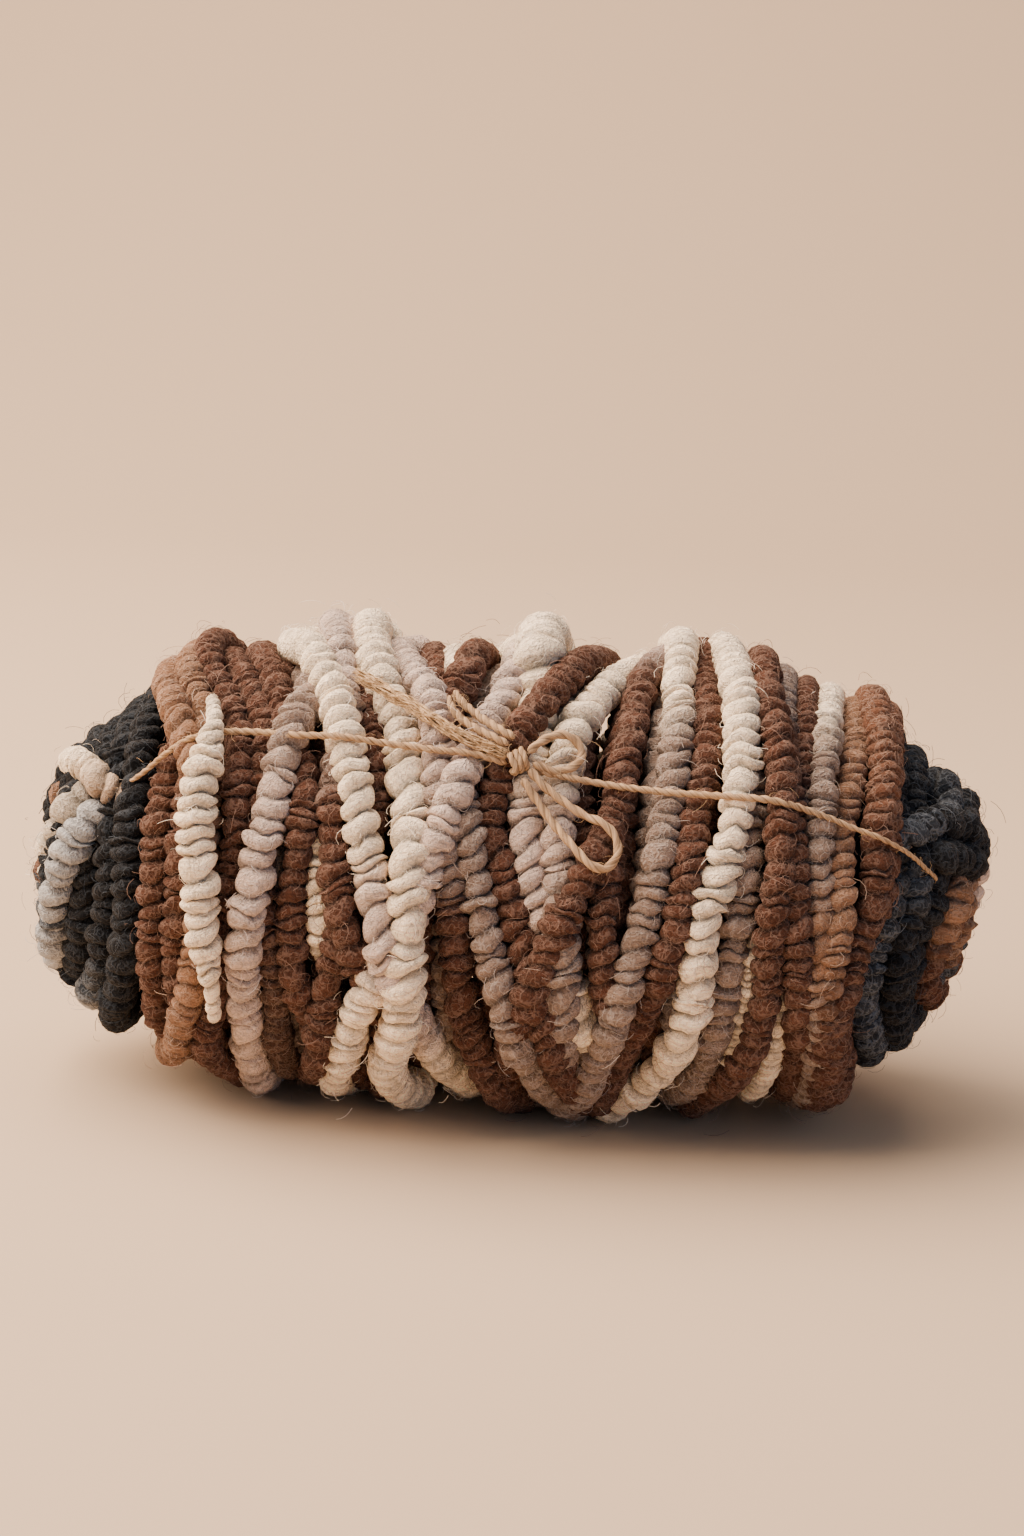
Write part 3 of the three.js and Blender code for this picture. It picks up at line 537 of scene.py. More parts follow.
def core_spun_tree():
    """Turns each line into core-spun yarn. The rows of the mesh run along the wraps of roving, which go
    round the core side by side like the threads of a screw, so each crease lies along a row."""
    tree, node, given = new_tree("core_spun_yarn", (
        ("Wrap Share", "Float", 0.47), ("Rows", "Int", 6), ("Sides", "Int", 14), ("Crease", "Float", 0.42),
        ("Unevenness", "Float", 2.4), ("Bunching", "Float", 2.4), ("Wander", "Float", 1.2),
        ("Swell", "Float", 0.2), ("Lump", "Float", 0.0011), ("Seed", "Float", 1.0),
        ("Material", "Material", None)))
    # Each line has a whole number of wraps, each about half as wide as the yarn is thick, on an even screw
    line = node("MeshToCurve", {"Mesh": given["Geometry"]})
    radius = node("InputNamedAttribute", {"Name": "radius_here"}, data_type="FLOAT").outputs[0]
    facts = node("CaptureAttribute", {
        "Geometry": line, "length": node("SplineLength").outputs["Length"],
        "pitch": node("MULTIPLY", node("MULTIPLY", radius, 2.0), given["Wrap Share"]),
        "closed": node("InputSplineCyclic"), "which": node("InputIndex"),
    }, domain="CURVE", capture_items=(
        ("length", "FLOAT"), ("pitch", "FLOAT"), ("closed", "FLOAT"), ("which", "INT"))).outputs
    lines, length, closed, which = (facts[title] for title in ("Geometry", "length", "closed", "which"))
    wraps = node("ROUND", node("DIVIDE", length, facts["pitch"]))
    count = node("ADD", node("MULTIPLY", wraps, given["Rows"]), node("SUBTRACT", 1.0, closed))
    rows = node("ResampleCurve", {"Curve": lines, "Count": count}, mode="COUNT")
    row = node("CaptureAttribute", {"Geometry": rows, "row": node("SplineParameter").outputs["Index"]},
               domain="POINT", capture_items=(("row", "INT"),)).outputs
    ring = node("CurveArc", {"Resolution": node("ADD", given["Sides"], 1.0), "Radius": 0.005,
                             "Start Angle": 0.0, "Sweep Angle": 2 * math.pi}, mode="RADIUS")
    side = node("CaptureAttribute", {"Geometry": ring, "around": node("SplineParameter").outputs["Factor"]},
                domain="POINT", capture_items=(("around", "FLOAT"),)).outputs
    around = side["around"]
    skin = node("CurveToMesh", {"Curve": row["Geometry"], "Profile Curve": side["Geometry"]})
    phase = node("DIVIDE", row["row"], given["Rows"])
    turns = node("ADD", around, phase)
    kept = node("MapRange", turns, 1.0, wraps, 0.0, wraps)
    round_again = node("FLOORED_MODULO", turns, wraps)
    turns = node("Mix", {0: closed, 2: kept, 3: round_again}, data_type="FLOAT").outputs[0]
    # The wraps bunch up here and spread there, but not near the seam of a line. The line's number times 5.3,
    # or times another such number below, gives each line a part of the noise of its own.
    from_seam = node("MINIMUM", turns, node("SUBTRACT", wraps, turns))
    settled = node("MapRange", {"Value": from_seam, "From Min": 2.0, "From Max": 4.0}).outputs[0]
    bunch_place = node("CombineXYZ", node("MULTIPLY", turns, 0.37), node("MULTIPLY", which, 5.3),
                       given["Seed"])
    bunch = node("TexNoise", {"Vector": bunch_place, "Scale": 1.0, "Detail": 0.0})
    bunch = node("MULTIPLY", node("SUBTRACT", bunch, 0.5), given["Bunching"])
    angle = node("MULTIPLY", around, 2 * math.pi)
    wander_place = node("CombineXYZ", node("COSINE", angle), node("SINE", angle), turns)
    wander_start = node("CombineXYZ", 0.0, given["Seed"], node("MULTIPLY", which, 5.7))
    wander_place = node("VECTOR_ADD", wander_place, wander_start)
    wander = node("TexNoise", {"Vector": wander_place, "Scale": 0.7, "Detail": 0.0})
    wander = node("MULTIPLY_ADD", node("SUBTRACT", wander, 0.5), given["Wander"], bunch)
    moved = node("MULTIPLY_ADD", wander, settled, turns)
    place = node("MULTIPLY", node("DIVIDE", moved, wraps), length)
    sample = node("SampleCurve", {"Curves": lines, "Value": radius, "Length": place, "Curve Index": which},
                  mode="LENGTH", data_type="FLOAT")
    middle, tangent, normal = (sample.outputs[title] for title in ("Position", "Tangent", "Normal"))
    # Each wrap is thick and thin along its own way, and the whole yarn swells and thins every 33 mm
    within = node("FRACT", phase)
    along_wrap = node("ADD", node("FLOOR", phase), around)
    wave_place = node("CombineXYZ", along_wrap, node("MULTIPLY", which, 7.3), 0.0)
    uneven = node("TexNoise", {"Vector": wave_place, "Scale": 1.3, "Detail": 1.0})
    uneven = node("MULTIPLY", node("SUBTRACT", uneven, 0.5), given["Unevenness"])
    uneven = node("MULTIPLY_ADD", uneven, settled, 1.0)
    slow_place = node("CombineXYZ", node("MULTIPLY", place, 30.0), node("MULTIPLY", which, 3.7),
                      given["Seed"])
    swell = node("TexNoise", {"Vector": slow_place, "Scale": 1.0, "Detail": 1.0})
    swell = node("MULTIPLY", node("SUBTRACT", swell, 0.5), given["Swell"])
    swell = node("MULTIPLY_ADD", swell, settled, 1.0)
    # Across a wrap the skin bulges, from 0 at both creases to 1 between them
    bulge = node("MULTIPLY", node("MULTIPLY", within, node("SUBTRACT", 1.0, within)), 4.0)
    lobe = node("MULTIPLY", node("POWER", bulge, 0.6), uneven)
    profile = node("MULTIPLY_ADD", node("SUBTRACT", lobe, 1.0), given["Crease"], 1.0)
    reach = node("MULTIPLY", node("MULTIPLY", sample.outputs["Value"], swell), profile)
    # An open line narrows to a point over its first and last fifth of a wrap
    tip = node("MapRange", {"Value": from_seam, "From Min": 0.0, "From Max": 0.2})
    tip = node("MAXIMUM", node("POWER", tip, 0.5), closed)
    reach = node("MULTIPLY", reach, tip)
    # The point's place round the line
    sideways = node("VECTOR_CROSS_PRODUCT", tangent, normal)
    spot = node("VECTOR_SCALE", {"Vector": normal, "Scale": node("COSINE", angle)})
    spot = node("VECTOR_MULTIPLY_ADD", sideways, node("SINE", angle), spot)
    spot = node("VECTOR_MULTIPLY_ADD", spot, reach, middle)
    skin = node("SetPosition", {"Geometry": skin, "Position": spot})
    # What the wool's material reads: a circle for each wrap, and the turns along the yarn
    turned = node("MULTIPLY", phase, 2 * math.pi)
    wrap = node("CombineXYZ", node("COSINE", turned), node("SINE", turned),
                node("MULTIPLY_ADD", which, 31.0, turns))
    skin = node("StoreNamedAttribute", {"Geometry": skin, "Name": "wrap", "Value": wrap},
                data_type="FLOAT_VECTOR", domain="POINT")
    skin = node("MergeByDistance", {"Geometry": skin, "Distance": 0.00002})
    # Small lumps about 5 mm wide, where the roving was drafted unevenly, and nothing below the floor
    here = node("InputPosition")
    lumps = node("TexNoise", {"Vector": here, "Scale": 190.0, "Detail": 1.0})
    lumps = node("MULTIPLY", node("SUBTRACT", lumps, 0.5), given["Lump"])
    offset = node("VECTOR_SCALE", {"Vector": node("InputNormal"), "Scale": lumps})
    skin = node("SetPosition", {"Geometry": skin, "Offset": offset})
    floor = node("VECTOR_MAXIMUM", here, (*NO_LIMIT, 0.0002))
    skin = node("SetPosition", {"Geometry": skin, "Position": floor})
    skin = node("SetShadeSmooth", {"Geometry": skin})
    skin = node("RealizeInstances", {"Geometry": skin})
    skin = node("SetMaterial", {"Geometry": skin, "Material": given["Material"]})
    node("GroupOutput", skin)
    return tree


def made_by(tree, name, mesh, values):
    """Runs a tree on a mesh and keeps the result as a plain mesh."""
    piece = bpy.data.objects.new(name, mesh)
    bpy.context.scene.collection.objects.link(piece)
    modifier = piece.modifiers.new("making", "NODES")
    modifier.node_group = tree
    for socket in tree.interface.items_tree:
        if socket.in_out == "INPUT" and socket.name in values:
            modifier[socket.identifier] = values[socket.name]
    piece.update_tag()
    ready = piece.evaluated_get(bpy.context.evaluated_depsgraph_get())
    made = bpy.data.meshes.new_from_object(ready)
    piece.modifiers.clear()
    piece.data = made
    made.name = name
    return piece


# Core-spun wool: matt, with painted shade in the creases, fibres along the wraps, and pale ones that curl
# over them
wool, node = new_material("core_spun_wool")
dye = node("Attribute", attribute_name="dye").outputs
wrap = node("Attribute", attribute_name="wrap").outputs["Vector"]
place = node("TexCoord").outputs["Object"]
# Real fibres are 0.03 mm thick. They are drawn in locks about 1 mm wide and 20 mm long, 8 to a wrap of 7 mm.
streak = node("TexNoise", {"Vector": node("VECTOR_MULTIPLY", wrap, (1.3, 1.3, 2.2)), "Scale": 1.0,
                           "Detail": 3.0, "Roughness": 0.7, "Distortion": 0.6})
# Blotches 11 mm wide where the dye took unevenly, and a felted grain 1 mm wide, coarser than the real one
cloud = node("TexNoise", {"Vector": place, "Scale": 90.0, "Detail": 4.0, "Roughness": 0.6})
felt = node("TexNoise", {"Vector": place, "Scale": 900.0, "Detail": 3.0, "Roughness": 0.6})
tone = node("MapRange", node("MULTIPLY", streak, cloud), 0.12, 0.42, 0.66, 1.6)
# Painted shade: the colour darkens towards each crease between the wraps, down to 0.36 of itself
crease = node("MapRange", node("SeparateXYZ", wrap), 0.4, 1.0, 1.0, 0.36)
tone = node("MULTIPLY", tone, crease)
# Painted shade: dark curling lines about 0.4 mm wide in the gaps between fibres, which show most on the pale
# dyes
fibre_gap_shade_wander = node("TexNoise", {"Vector": place, "Scale": 240.0, "Detail": 2.0})
fibre_gap_shade = node("MapRange", node("ABSOLUTE", node("SUBTRACT", fibre_gap_shade_wander, 0.47)), 0.01, 0.045, 0.7, 1.0)
tone = node("MULTIPLY", tone, fibre_gap_shade)
dyed = node("VECTOR_SCALE", {"Vector": dye["Color"], "Scale": tone})
# Pale curling fibres: the level lines of two noises, drawn 0.3 to 0.5 mm wide, and a fine marl between them
pale = node("Gamma", {"Color": dye["Color"], "Gamma": 0.5})
curls = node("MapRange", {"Value": felt, "From Min": 0.45, "From Max": 0.75, "To Max": 0.45})
for scale in (170.0, 280.0):
    wander = node("TexNoise", {"Vector": place, "Scale": scale, "Detail": 2.0})
    line = node("MapRange", node("ABSOLUTE", node("SUBTRACT", wander, 0.5)), 0.012, 0.042, 1.0, 0.0)
    curls = node("MAXIMUM", curls, line)
share = node("MULTIPLY", curls, dye["Alpha"])
mixed = node("Mix", {0: share, 6: dyed, 7: pale}, data_type="RGBA")
height = node("ADD", node("ADD", streak, felt), curls)
bump = node("Bump", {"Height": height, "Strength": 0.7, "Distance": 0.0013})
surface = node("BsdfPrincipled", {"Base Color": mixed, "Roughness": 0.95, "Specular IOR Level": 0.12,
                                  "Sheen Weight": 0.07, "Sheen Roughness": 0.6,
                                  "Sheen Tint": linear("#F2E2D2"), "Normal": bump})
node("OutputMaterial", {"Surface": surface})

core_spun = core_spun_tree()
WOOL_PIECES = (
    ("layer_beneath", under_layer(), {"Wrap Share": 0.62, "Rows": 3, "Sides": 7, "Lump": 0.0, "Seed": 3.0}),
    ("rounded_ends", end_strands, {"Crease": 0.48, "Seed": 5.0}),
    ("wound_turns_lower", under_strands + body_strands[:8], {"Seed": 7.0}),
    ("wound_turns_middle", body_strands[8:15], {"Seed": 11.0}),
    ("wound_turns_upper", body_strands[15:21], {"Wander": 1.1, "Seed": 13.0}),
    ("wound_turns_outer", body_strands[21:] + over_strands, {"Seed": 17.0}),
)
for name, strands, values in WOOL_PIECES:
    piece = made_by(core_spun, name, path_mesh(name, strands), {"Material": wool, **values})
    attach(piece, "root")
    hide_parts("wound_yarn")


# Loose end
# The yarn's own end, undyed cream and thicker than the rest. It lies over the tie at the left, and thins to
# a wisp at both ends, where the roving was pulled apart by hand.

# Columns: place along the roll, angle, distance from the roll's axis, radius
LOOSE_END_ROUTE = (
    (-105.5, 117, 90.5, 1.8), (-106, 112.5, 92.5, 2.8), (-105.5, 107, 94.5, 3), (-107, 100, 95, 5.2),
    (-109, 93, 94.8, 6.6), (-110, 86, 95, 7.3), (-110.5, 79, 95.3, 7.5), (-112, 73, 95.8, 7.7),
    (-113, 67, 97, 7.9), (-113, 61, 98.8, 8), (-112, 55, 100, 7.6), (-110.5, 49.5, 100.8, 6.6),
    (-110, 44.5, 101, 3.8), (-111, 40.5, 97, 3.4), (-112.5, 36.5, 93.2, 3), (-114, 32, 90.4, 2.4),
    (-114.5, 29.5, 90.2, 2),
)
# Its thickness over all, and the radius below which its wraps would be too fine to draw
LOOSE_END_THICKNESS, LEAST_RADIUS = 14.0, 3.0


def strand_of(line, radius, dye):
    """An open strand along a line."""
    return {"middles": line, "radius": np.broadcast_to(radius, len(line)), "dye": dye, "closed": False}


loose_line = round_axis(LOOSE_END_ROUTE)
loose_radius = np.maximum(np.array(LOOSE_END_ROUTE)[:, 3], LEAST_RADIUS)
loose_strand = strand_of(loose_line, loose_radius, dyes_of("W" * len(loose_line)))
piece = made_by(core_spun, "loose_end_yarn", path_mesh("loose_end_yarn", [loose_strand]),
                {"Material": wool, "Wrap Share": 0.54, "Bunching": 2.8, "Seed": 19.0})
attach(piece, "root")
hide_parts("loose_end")
wool_skins = [bpy.data.objects[name] for name, _, _ in WOOL_PIECES[1:]] + [piece]


# Tie
# Natural jute twine of two plies, wound once lengthwise round the roll, drawn tight so that it sinks in over
# the ends, and tied in a bow. One end has come unlaid into wavy fibres, the two others were cut.

# Thicknesses: round the roll, in the knot, in the bow with its fibres, and of the unlaid end
TWINE, KNOT_TWINE, BOW_TWINE, LONG_END = 3.0, 2.7, 3.6, 5.0
# A ply goes once round the twine in this length
TWINE_LAY = 9.0
# From this far along the roll the tie bends over its ends, and over the next stretch it is pulled thinner
BENDS_FROM, BENDS_OVER, PULLED_THIN = 110, 40, 0.35
# What is left of the thickness where the twine was cut
CUT_SHARE = 0.5
# Columns: place along the roll, angle, distance from the roll's axis
TIE_ROUTE = (
    (2, 49, 99.5), (-10, 48, 102.2), (-26, 47.5, 102.4), (-44, 46.5, 102), (-62, 46, 103.8),
    (-78, 45.5, 101.6), (-94, 44, 98), (-108, 43.5, 95.2), (-120, 45, 93), (-130, 47, 85.5),
    (-139, 49, 75.5), (-147, 50.5, 67), (-154, 52, 57), (-161, 53, 49), (-170, 55, 41.5),
    (-175, 58, 28), (-177.5, 66, 13), (-178, 140, 5),
    (-177.5, 214, 13), (-175, 222, 28), (-170, 225, 41.5), (-163, 226, 52), (-155, 227, 60.5),
    (-147, 228, 70), (-139, 228, 81), (-124, 228, 86), (-108, 228, 91), (-90, 228, 96.3), (-70, 227, 98),
    (-40, 227, 101.5), (-4, 227, 100), (20, 227, 98.6), (60, 228, 95.3), (104, 228, 89), (130, 229, 84.5),
    (140, 229, 77), (145.7, 229, 69), (151.3, 229, 60), (156.8, 229, 52), (162.4, 228, 41.5),
    (166.3, 225, 28), (168.5, 216, 13), (169.5, 150, 5), (170, 84, 13), (168.5, 75, 28), (167, 69, 41.5),
    (165.5, 65, 51.5), (161, 63, 61), (156, 61.5, 71), (150, 60.5, 80), (142, 59, 85.5),
    (133, 57.5, 87.5), (120, 55.5, 92),
    (102, 54.5, 100), (84, 54, 99.5), (60, 53, 96.5), (36, 51.5, 95.5), (12, 50, 98.5),
)
LONG_LOOP_ROUTE = (
    (10.5, 50.2, 100.5), (14, 52.5, 99.5), (19.5, 55, 98), (26, 57.5, 97.2), (33, 60, 98), (39.5, 61.6, 100),
    (44.5, 64.6, 99.5), (45.5, 68.2, 99.8), (41.5, 71.4, 101.3), (35.5, 70.6, 102.8), (30, 67.6, 101.5),
    (25, 64.6, 98.8), (19.5, 60.9, 97), (14.5, 57, 97), (11, 54.5, 98.5), (8, 52.5, 100),
)
SHORT_LOOP_ROUTE = (
    (9.8, 47.2, 102.5), (12.5, 45.4, 103), (16.5, 43.1, 102), (21.5, 41.6, 101), (27, 42.1, 98.5),
    (29.5, 45.1, 96.5), (27, 48.1, 97), (21, 49.9, 98), (15.5, 49.6, 99.5), (11.5, 49, 101),
)
LONG_END_ROUTE = (
    (2, 47.6, 101.8), (-6, 46.4, 103), (-13, 45.1, 104), (-19, 43.6, 104.4), (-25, 41.6, 104.6),
    (-31, 39.3, 104.2), (-37, 36.6, 103.4), (-44, 34, 102.6), (-50, 31.3, 102.4), (-56, 29.3, 102.6),
    (-60, 27.8, 103.2),
)
LOWER_CUT_END_ROUTE = (
    (2.4, 45.9, 103.6), (-4, 44.4, 104.6), (-10, 42.4, 103.4), (-16, 39.9, 102.6), (-20.5, 36.9, 103),
    (-22.5, 33.6, 103.4),
)
UPPER_CUT_END_ROUTE = (
    (4.5, 44.3, 104), (-1, 42.6, 104.4), (-6.5, 40.1, 102.6), (-11.5, 37.3, 101), (-17, 34.1, 100.4),
    (-21, 30.6, 101),
)
KNOT_PLACE = (6.2, 48.7, 101.5)


def laid_twine_tree():
    """Turns each line into twine of two plies: a section with two lobes, turned as it goes along."""
    tree, node, given = new_tree("laid_twine", (
        ("Step", "Float", 0.0009), ("Lay", "Float", TWINE_LAY * MM), ("Sides", "Int", 16),
        ("Groove", "Float", 0.13), ("Swell", "Float", 0.3), ("Seed", "Float", 1.0),
        ("Material", "Material", None)))
    line = node("MeshToCurve", {"Mesh": given["Geometry"]})
    rows = node("ResampleCurve", {"Curve": line, "Length": given["Step"]}, mode="LENGTH")
    turns = node("DIVIDE", node("SplineParameter").outputs["Length"], given["Lay"])
    rows = node("SetCurveTilt", {"Curve": rows, "Tilt": node("MULTIPLY", turns, 2 * math.pi)})
    radius = node("InputNamedAttribute", {"Name": "radius_here"}, data_type="FLOAT").outputs[0]
    facts = node("CaptureAttribute", {
        "Geometry": rows, "middle": node("InputPosition"), "radius": radius, "turns": turns,
    }, domain="POINT", capture_items=(("middle", "VECTOR"), ("radius", "FLOAT"), ("turns", "FLOAT"))).outputs
    ring = node("CurvePrimitiveCircle", {"Resolution": given["Sides"], "Radius": 1.0}, mode="RADIUS")
    angle = node("MULTIPLY", node("SplineParameter").outputs["Factor"], 2 * math.pi)
    side = node("CaptureAttribute", {"Geometry": ring, "angle": angle},
                domain="POINT", capture_items=(("angle", "FLOAT"),)).outputs
    skin = node("CurveToMesh", {"Curve": facts["Geometry"], "Profile Curve": side["Geometry"],
                                "Fill Caps": True})
    # The section: two lobes with a groove between, a little uneven along the twine
    double = node("MULTIPLY", side["angle"], 2.0)
    lobes = node("SUBTRACT", node("COSINE", double), 1.0)
    lobes = node("MULTIPLY_ADD", lobes, given["Groove"], 1.0)
    noise_place = node("CombineXYZ", facts["turns"], given["Seed"], side["angle"])
    noise = node("TexNoise", {"Vector": noise_place, "Scale": 0.9, "Detail": 2.0})
    swell = node("MULTIPLY_ADD", node("SUBTRACT", noise, 0.5), given["Swell"], 1.0)
    reach = node("MULTIPLY", node("MULTIPLY", lobes, swell), facts["radius"])
    away = node("VECTOR_SUBTRACT", node("InputPosition"), facts["middle"])
    spot = node("VECTOR_MULTIPLY_ADD", away, reach, facts["middle"])
    skin = node("SetPosition", {"Geometry": skin, "Position": spot})
    lay_place = node("CombineXYZ", node("COSINE", side["angle"]), node("SINE", side["angle"]),
                     facts["turns"])
    skin = node("StoreNamedAttribute", {"Geometry": skin, "Name": "lay_place", "Value": lay_place},
                data_type="FLOAT_VECTOR", domain="POINT")
    skin = node("SetShadeSmooth", {"Geometry": skin})
    skin = node("RealizeInstances", {"Geometry": skin})
    skin = node("SetMaterial", {"Geometry": skin, "Material": given["Material"]})
    node("GroupOutput", skin)
    return tree


# Jute: a dry golden-brown bast fibre, in straight bundles along each ply, with painted shade in the groove.
# The bundles are drawn about 0.6 mm wide and 10 mm long, coarser than the real ones, which wouldn't show.
jute, node = new_material("natural_jute")
lay_place = node("Attribute", attribute_name="lay_place").outputs["Vector"]
bundle_place = node("VECTOR_MULTIPLY", lay_place, (2.6, 2.6, 0.9))
bundle = node("TexNoise", {"Vector": bundle_place, "Scale": 1.0, "Detail": 4.0, "Roughness": 0.75})
tone = node("MapRange", {"Value": bundle, "From Min": 0.3, "From Max": 0.7})
colour = node("Mix", {0: tone, 6: linear("#80634A"), 7: linear("#DDBA92")}, data_type="RGBA")
# Painted shade: the colour darkens towards the groove between the two plies
groove = node("MapRange", node("ABSOLUTE", node("SeparateXYZ", lay_place)), 0.0, 0.5, 0.45, 1.0)
colour = node("VECTOR_SCALE", {"Vector": colour, "Scale": groove})
bump = node("Bump", {"Height": bundle, "Strength": 0.5, "Distance": 0.0005})
surface = node("BsdfPrincipled", {"Base Color": colour, "Roughness": 0.8, "Specular IOR Level": 0.25,
                                  "Normal": bump})
node("OutputMaterial", {"Surface": surface})

# Unlaid jute: paler, because the light gets between its fibres, and speckled every 2 to 3 mm
unlaid_jute, node = new_material("unlaid_jute")
place = node("TexCoord").outputs["Object"]
speckle = node("TexNoise", {"Vector": place, "Scale": 400.0, "Detail": 2.0})
tone = node("MapRange", {"Value": speckle, "From Min": 0.35, "From Max": 0.65})
colour = node("Mix", {0: tone, 6: linear("#A08260"), 7: linear("#E2C198")}, data_type="RGBA")
surface = node("BsdfPrincipled", {"Base Color": colour, "Roughness": 0.8, "Specular IOR Level": 0.25})
node("OutputMaterial", {"Surface": surface})

laid_twine = laid_twine_tree()
scatter = np.random.default_rng(41)


def frame_along(line):
    """Two directions square to the line at each of its points."""
    way = np.gradient(line, axis=0)
    way /= np.linalg.norm(way, axis=1, keepdims=True)
    out = line - (0, AXIS_BACK, AXIS_HEIGHT)
    out[:, 0] = 0
    aside = np.cross(way, out)
    aside /= np.linalg.norm(aside, axis=1, keepdims=True)
    return aside, np.cross(aside, way)


# A bundle turns by this many radians a millimetre, the inner part of its section is left empty, and each
# fibre has longer or shorter waves than the others.
BUNDLE_TWIST, LEAST_REACH, WAVE_CHANGE = 0.02, 0.3, (0.7, 1.4)


def fibres_round(line, count, spread, radius, wave, wave_length, shortest):
    """Wavy fibres that follow the line, each at its own place in the bundle."""
    along = lengths_along(line)
    aside, out = frame_along(line)
    strands = []
    for _ in range(count):
        angle, reach = scatter.uniform(0, 2 * math.pi), np.sqrt(scatter.uniform(LEAST_REACH, 1.0)) * spread
        phases = scatter.uniform(0, 2 * math.pi, 2)
        lengths = wave_length * scatter.uniform(*WAVE_CHANGE, 2)
        turned = angle + BUNDLE_TWIST * along
        across = np.cos(turned) * reach + wave * np.sin(2 * math.pi * along / lengths[0] + phases[0])
        height = np.sin(turned) * reach + wave * np.sin(2 * math.pi * along / lengths[1] + phases[1])
        fibre = line + aside * across[:, None] + out * height[:, None]
        keep = along <= along[-1] * scatter.uniform(shortest, 2 - shortest)
        strands.append(strand_of(fibre[keep], radius, dyes_of("N" * keep.sum())))
    return strands


def twine_line(route, step):
    """The line through a route's places, with points a step apart."""
    line = smooth_knots(round_axis(route), samples=12)
    along = lengths_along(line)
    return values_at(np.linspace(0, along[-1], round(along[-1] / step) + 1), along, line)


def tie_strand(line):
    """The tie, drawn thinner where it bends tightly over the ends."""
    near_end = np.clip((np.abs(line[:, 0]) - BENDS_FROM) / BENDS_OVER, 0, 1)
    return strand_of(line, TWINE / 2 * (1 - PULLED_THIN * near_end), dyes_of("N" * len(line)))


def twine_strand(line, thickness, taper=0.0):
    """A length of twine, which thins over its last millimetres where it was cut."""
    along = lengths_along(line)
    share = np.clip((along[-1] - along) / taper, 0, 1) if taper else 1.0
    return strand_of(line, thickness / 2 * (CUT_SHARE + (1 - CUT_SHARE) * share), dyes_of("N" * len(line)))


# The knot is an oval coil of three wraps, a little wider than high, sunk a little into the bow
KNOT_WRAPS, KNOT_RADIUS, KNOT_PITCH, KNOT_SLANT = 3.0, 3.3, 2.3, math.radians(32)
KNOT_SUNK, KNOT_HIGH, KNOT_WIDE, KNOT_POINTS = 0.6, 0.9, 1.1, 60


def knot_line():
    """The twine that is wrapped round the bundle of the bow, slantwise."""
    middle = round_axis([KNOT_PLACE])[0]
    out = (middle - (middle[0], AXIS_BACK, AXIS_HEIGHT)) / KNOT_PLACE[2]
    down = np.cross((1.0, 0.0, 0.0), out) * -1
    axle = np.array((math.cos(KNOT_SLANT), 0, 0)) + down * math.sin(KNOT_SLANT)
    aside = np.cross(out, axle)
    turn = np.linspace(-KNOT_WRAPS / 2, KNOT_WRAPS / 2, KNOT_POINTS)
    return (middle - out * KNOT_SUNK + axle * (turn * KNOT_PITCH)[:, None]
            + KNOT_RADIUS * (out * np.cos(2 * math.pi * turn)[:, None] * KNOT_HIGH
                             + aside * np.sin(2 * math.pi * turn)[:, None] * KNOT_WIDE))


tie_line = twine_line(TIE_ROUTE, 2.0)
long_loop_line, short_loop_line = twine_line(LONG_LOOP_ROUTE, 1.5), twine_line(SHORT_LOOP_ROUTE, 1.5)
long_end_line = twine_line(LONG_END_ROUTE, 1.5)
lower_cut_line, upper_cut_line = twine_line(LOWER_CUT_END_ROUTE, 1.0), twine_line(UPPER_CUT_END_ROUTE, 1.0)

# The fibres of the long end, which came unlaid, and the few that stand out of a cut end
UNLAID = {"count": 58, "spread": 2.2, "radius": 0.3, "wave": 0.5, "wave_length": 11.0, "shortest": 0.93}
CUT_FUZZ = {"count": 5, "spread": 1.3, "radius": 0.14, "wave": 0.5, "wave_length": 9.0, "shortest": 0.97}
# Over this length a cut end thins
CUT_TAPER = 7.0
# The unlaid fibres are plain threads of five sides, and most of them end 3 mm before their line does
BUNDLE = {"Sides": 5, "Groove": 0.0, "Step": 0.0015, "Material": unlaid_jute}
FRAYED_PART = slice(None, -2)
# Columns: piece, node that it replaces, strands, values, then a free cord's line, thickness and far end
TIE_PIECES = (
    ("jute_tie", "tie_wrap", [tie_strand(tie_line)], {}),
    ("jute_knot", "tie_knot", [twine_strand(knot_line(), KNOT_TWINE)], {}),
    ("jute_long_loop", "tie_long_loop", [twine_strand(long_loop_line, BOW_TWINE)],
     {"Lay": 0.015, "Seed": 2.0}, long_loop_line, BOW_TWINE, "object"),
    ("jute_short_loop", "tie_short_loop", [twine_strand(short_loop_line, BOW_TWINE)],
     {"Lay": 0.013, "Seed": 3.0}, short_loop_line, BOW_TWINE, "object"),
    ("unlaid_long_end", "tie_long_end", fibres_round(long_end_line, **UNLAID),
     BUNDLE, long_end_line[FRAYED_PART], LONG_END, "bare"),
    ("jute_lower_cut_end", "tie_lower_cut_end",
     [twine_strand(lower_cut_line, BOW_TWINE, CUT_TAPER)] + fibres_round(lower_cut_line, **CUT_FUZZ),
     {"Seed": 4.0}, lower_cut_line, BOW_TWINE, "bare"),
    ("jute_upper_cut_end", "tie_upper_cut_end",
     [twine_strand(upper_cut_line, BOW_TWINE, CUT_TAPER)] + fibres_round(upper_cut_line, **CUT_FUZZ),
     {"Seed": 5.0}, upper_cut_line, BOW_TWINE, "bare"),
)
jute_skins = []
for name, solid, strands, values, *cord in TIE_PIECES:
    piece = made_by(laid_twine, name, path_mesh(name, strands, 1.0), {"Material": jute, **values})
    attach(piece, "root")
    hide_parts(solid)
    jute_skins.append(piece)


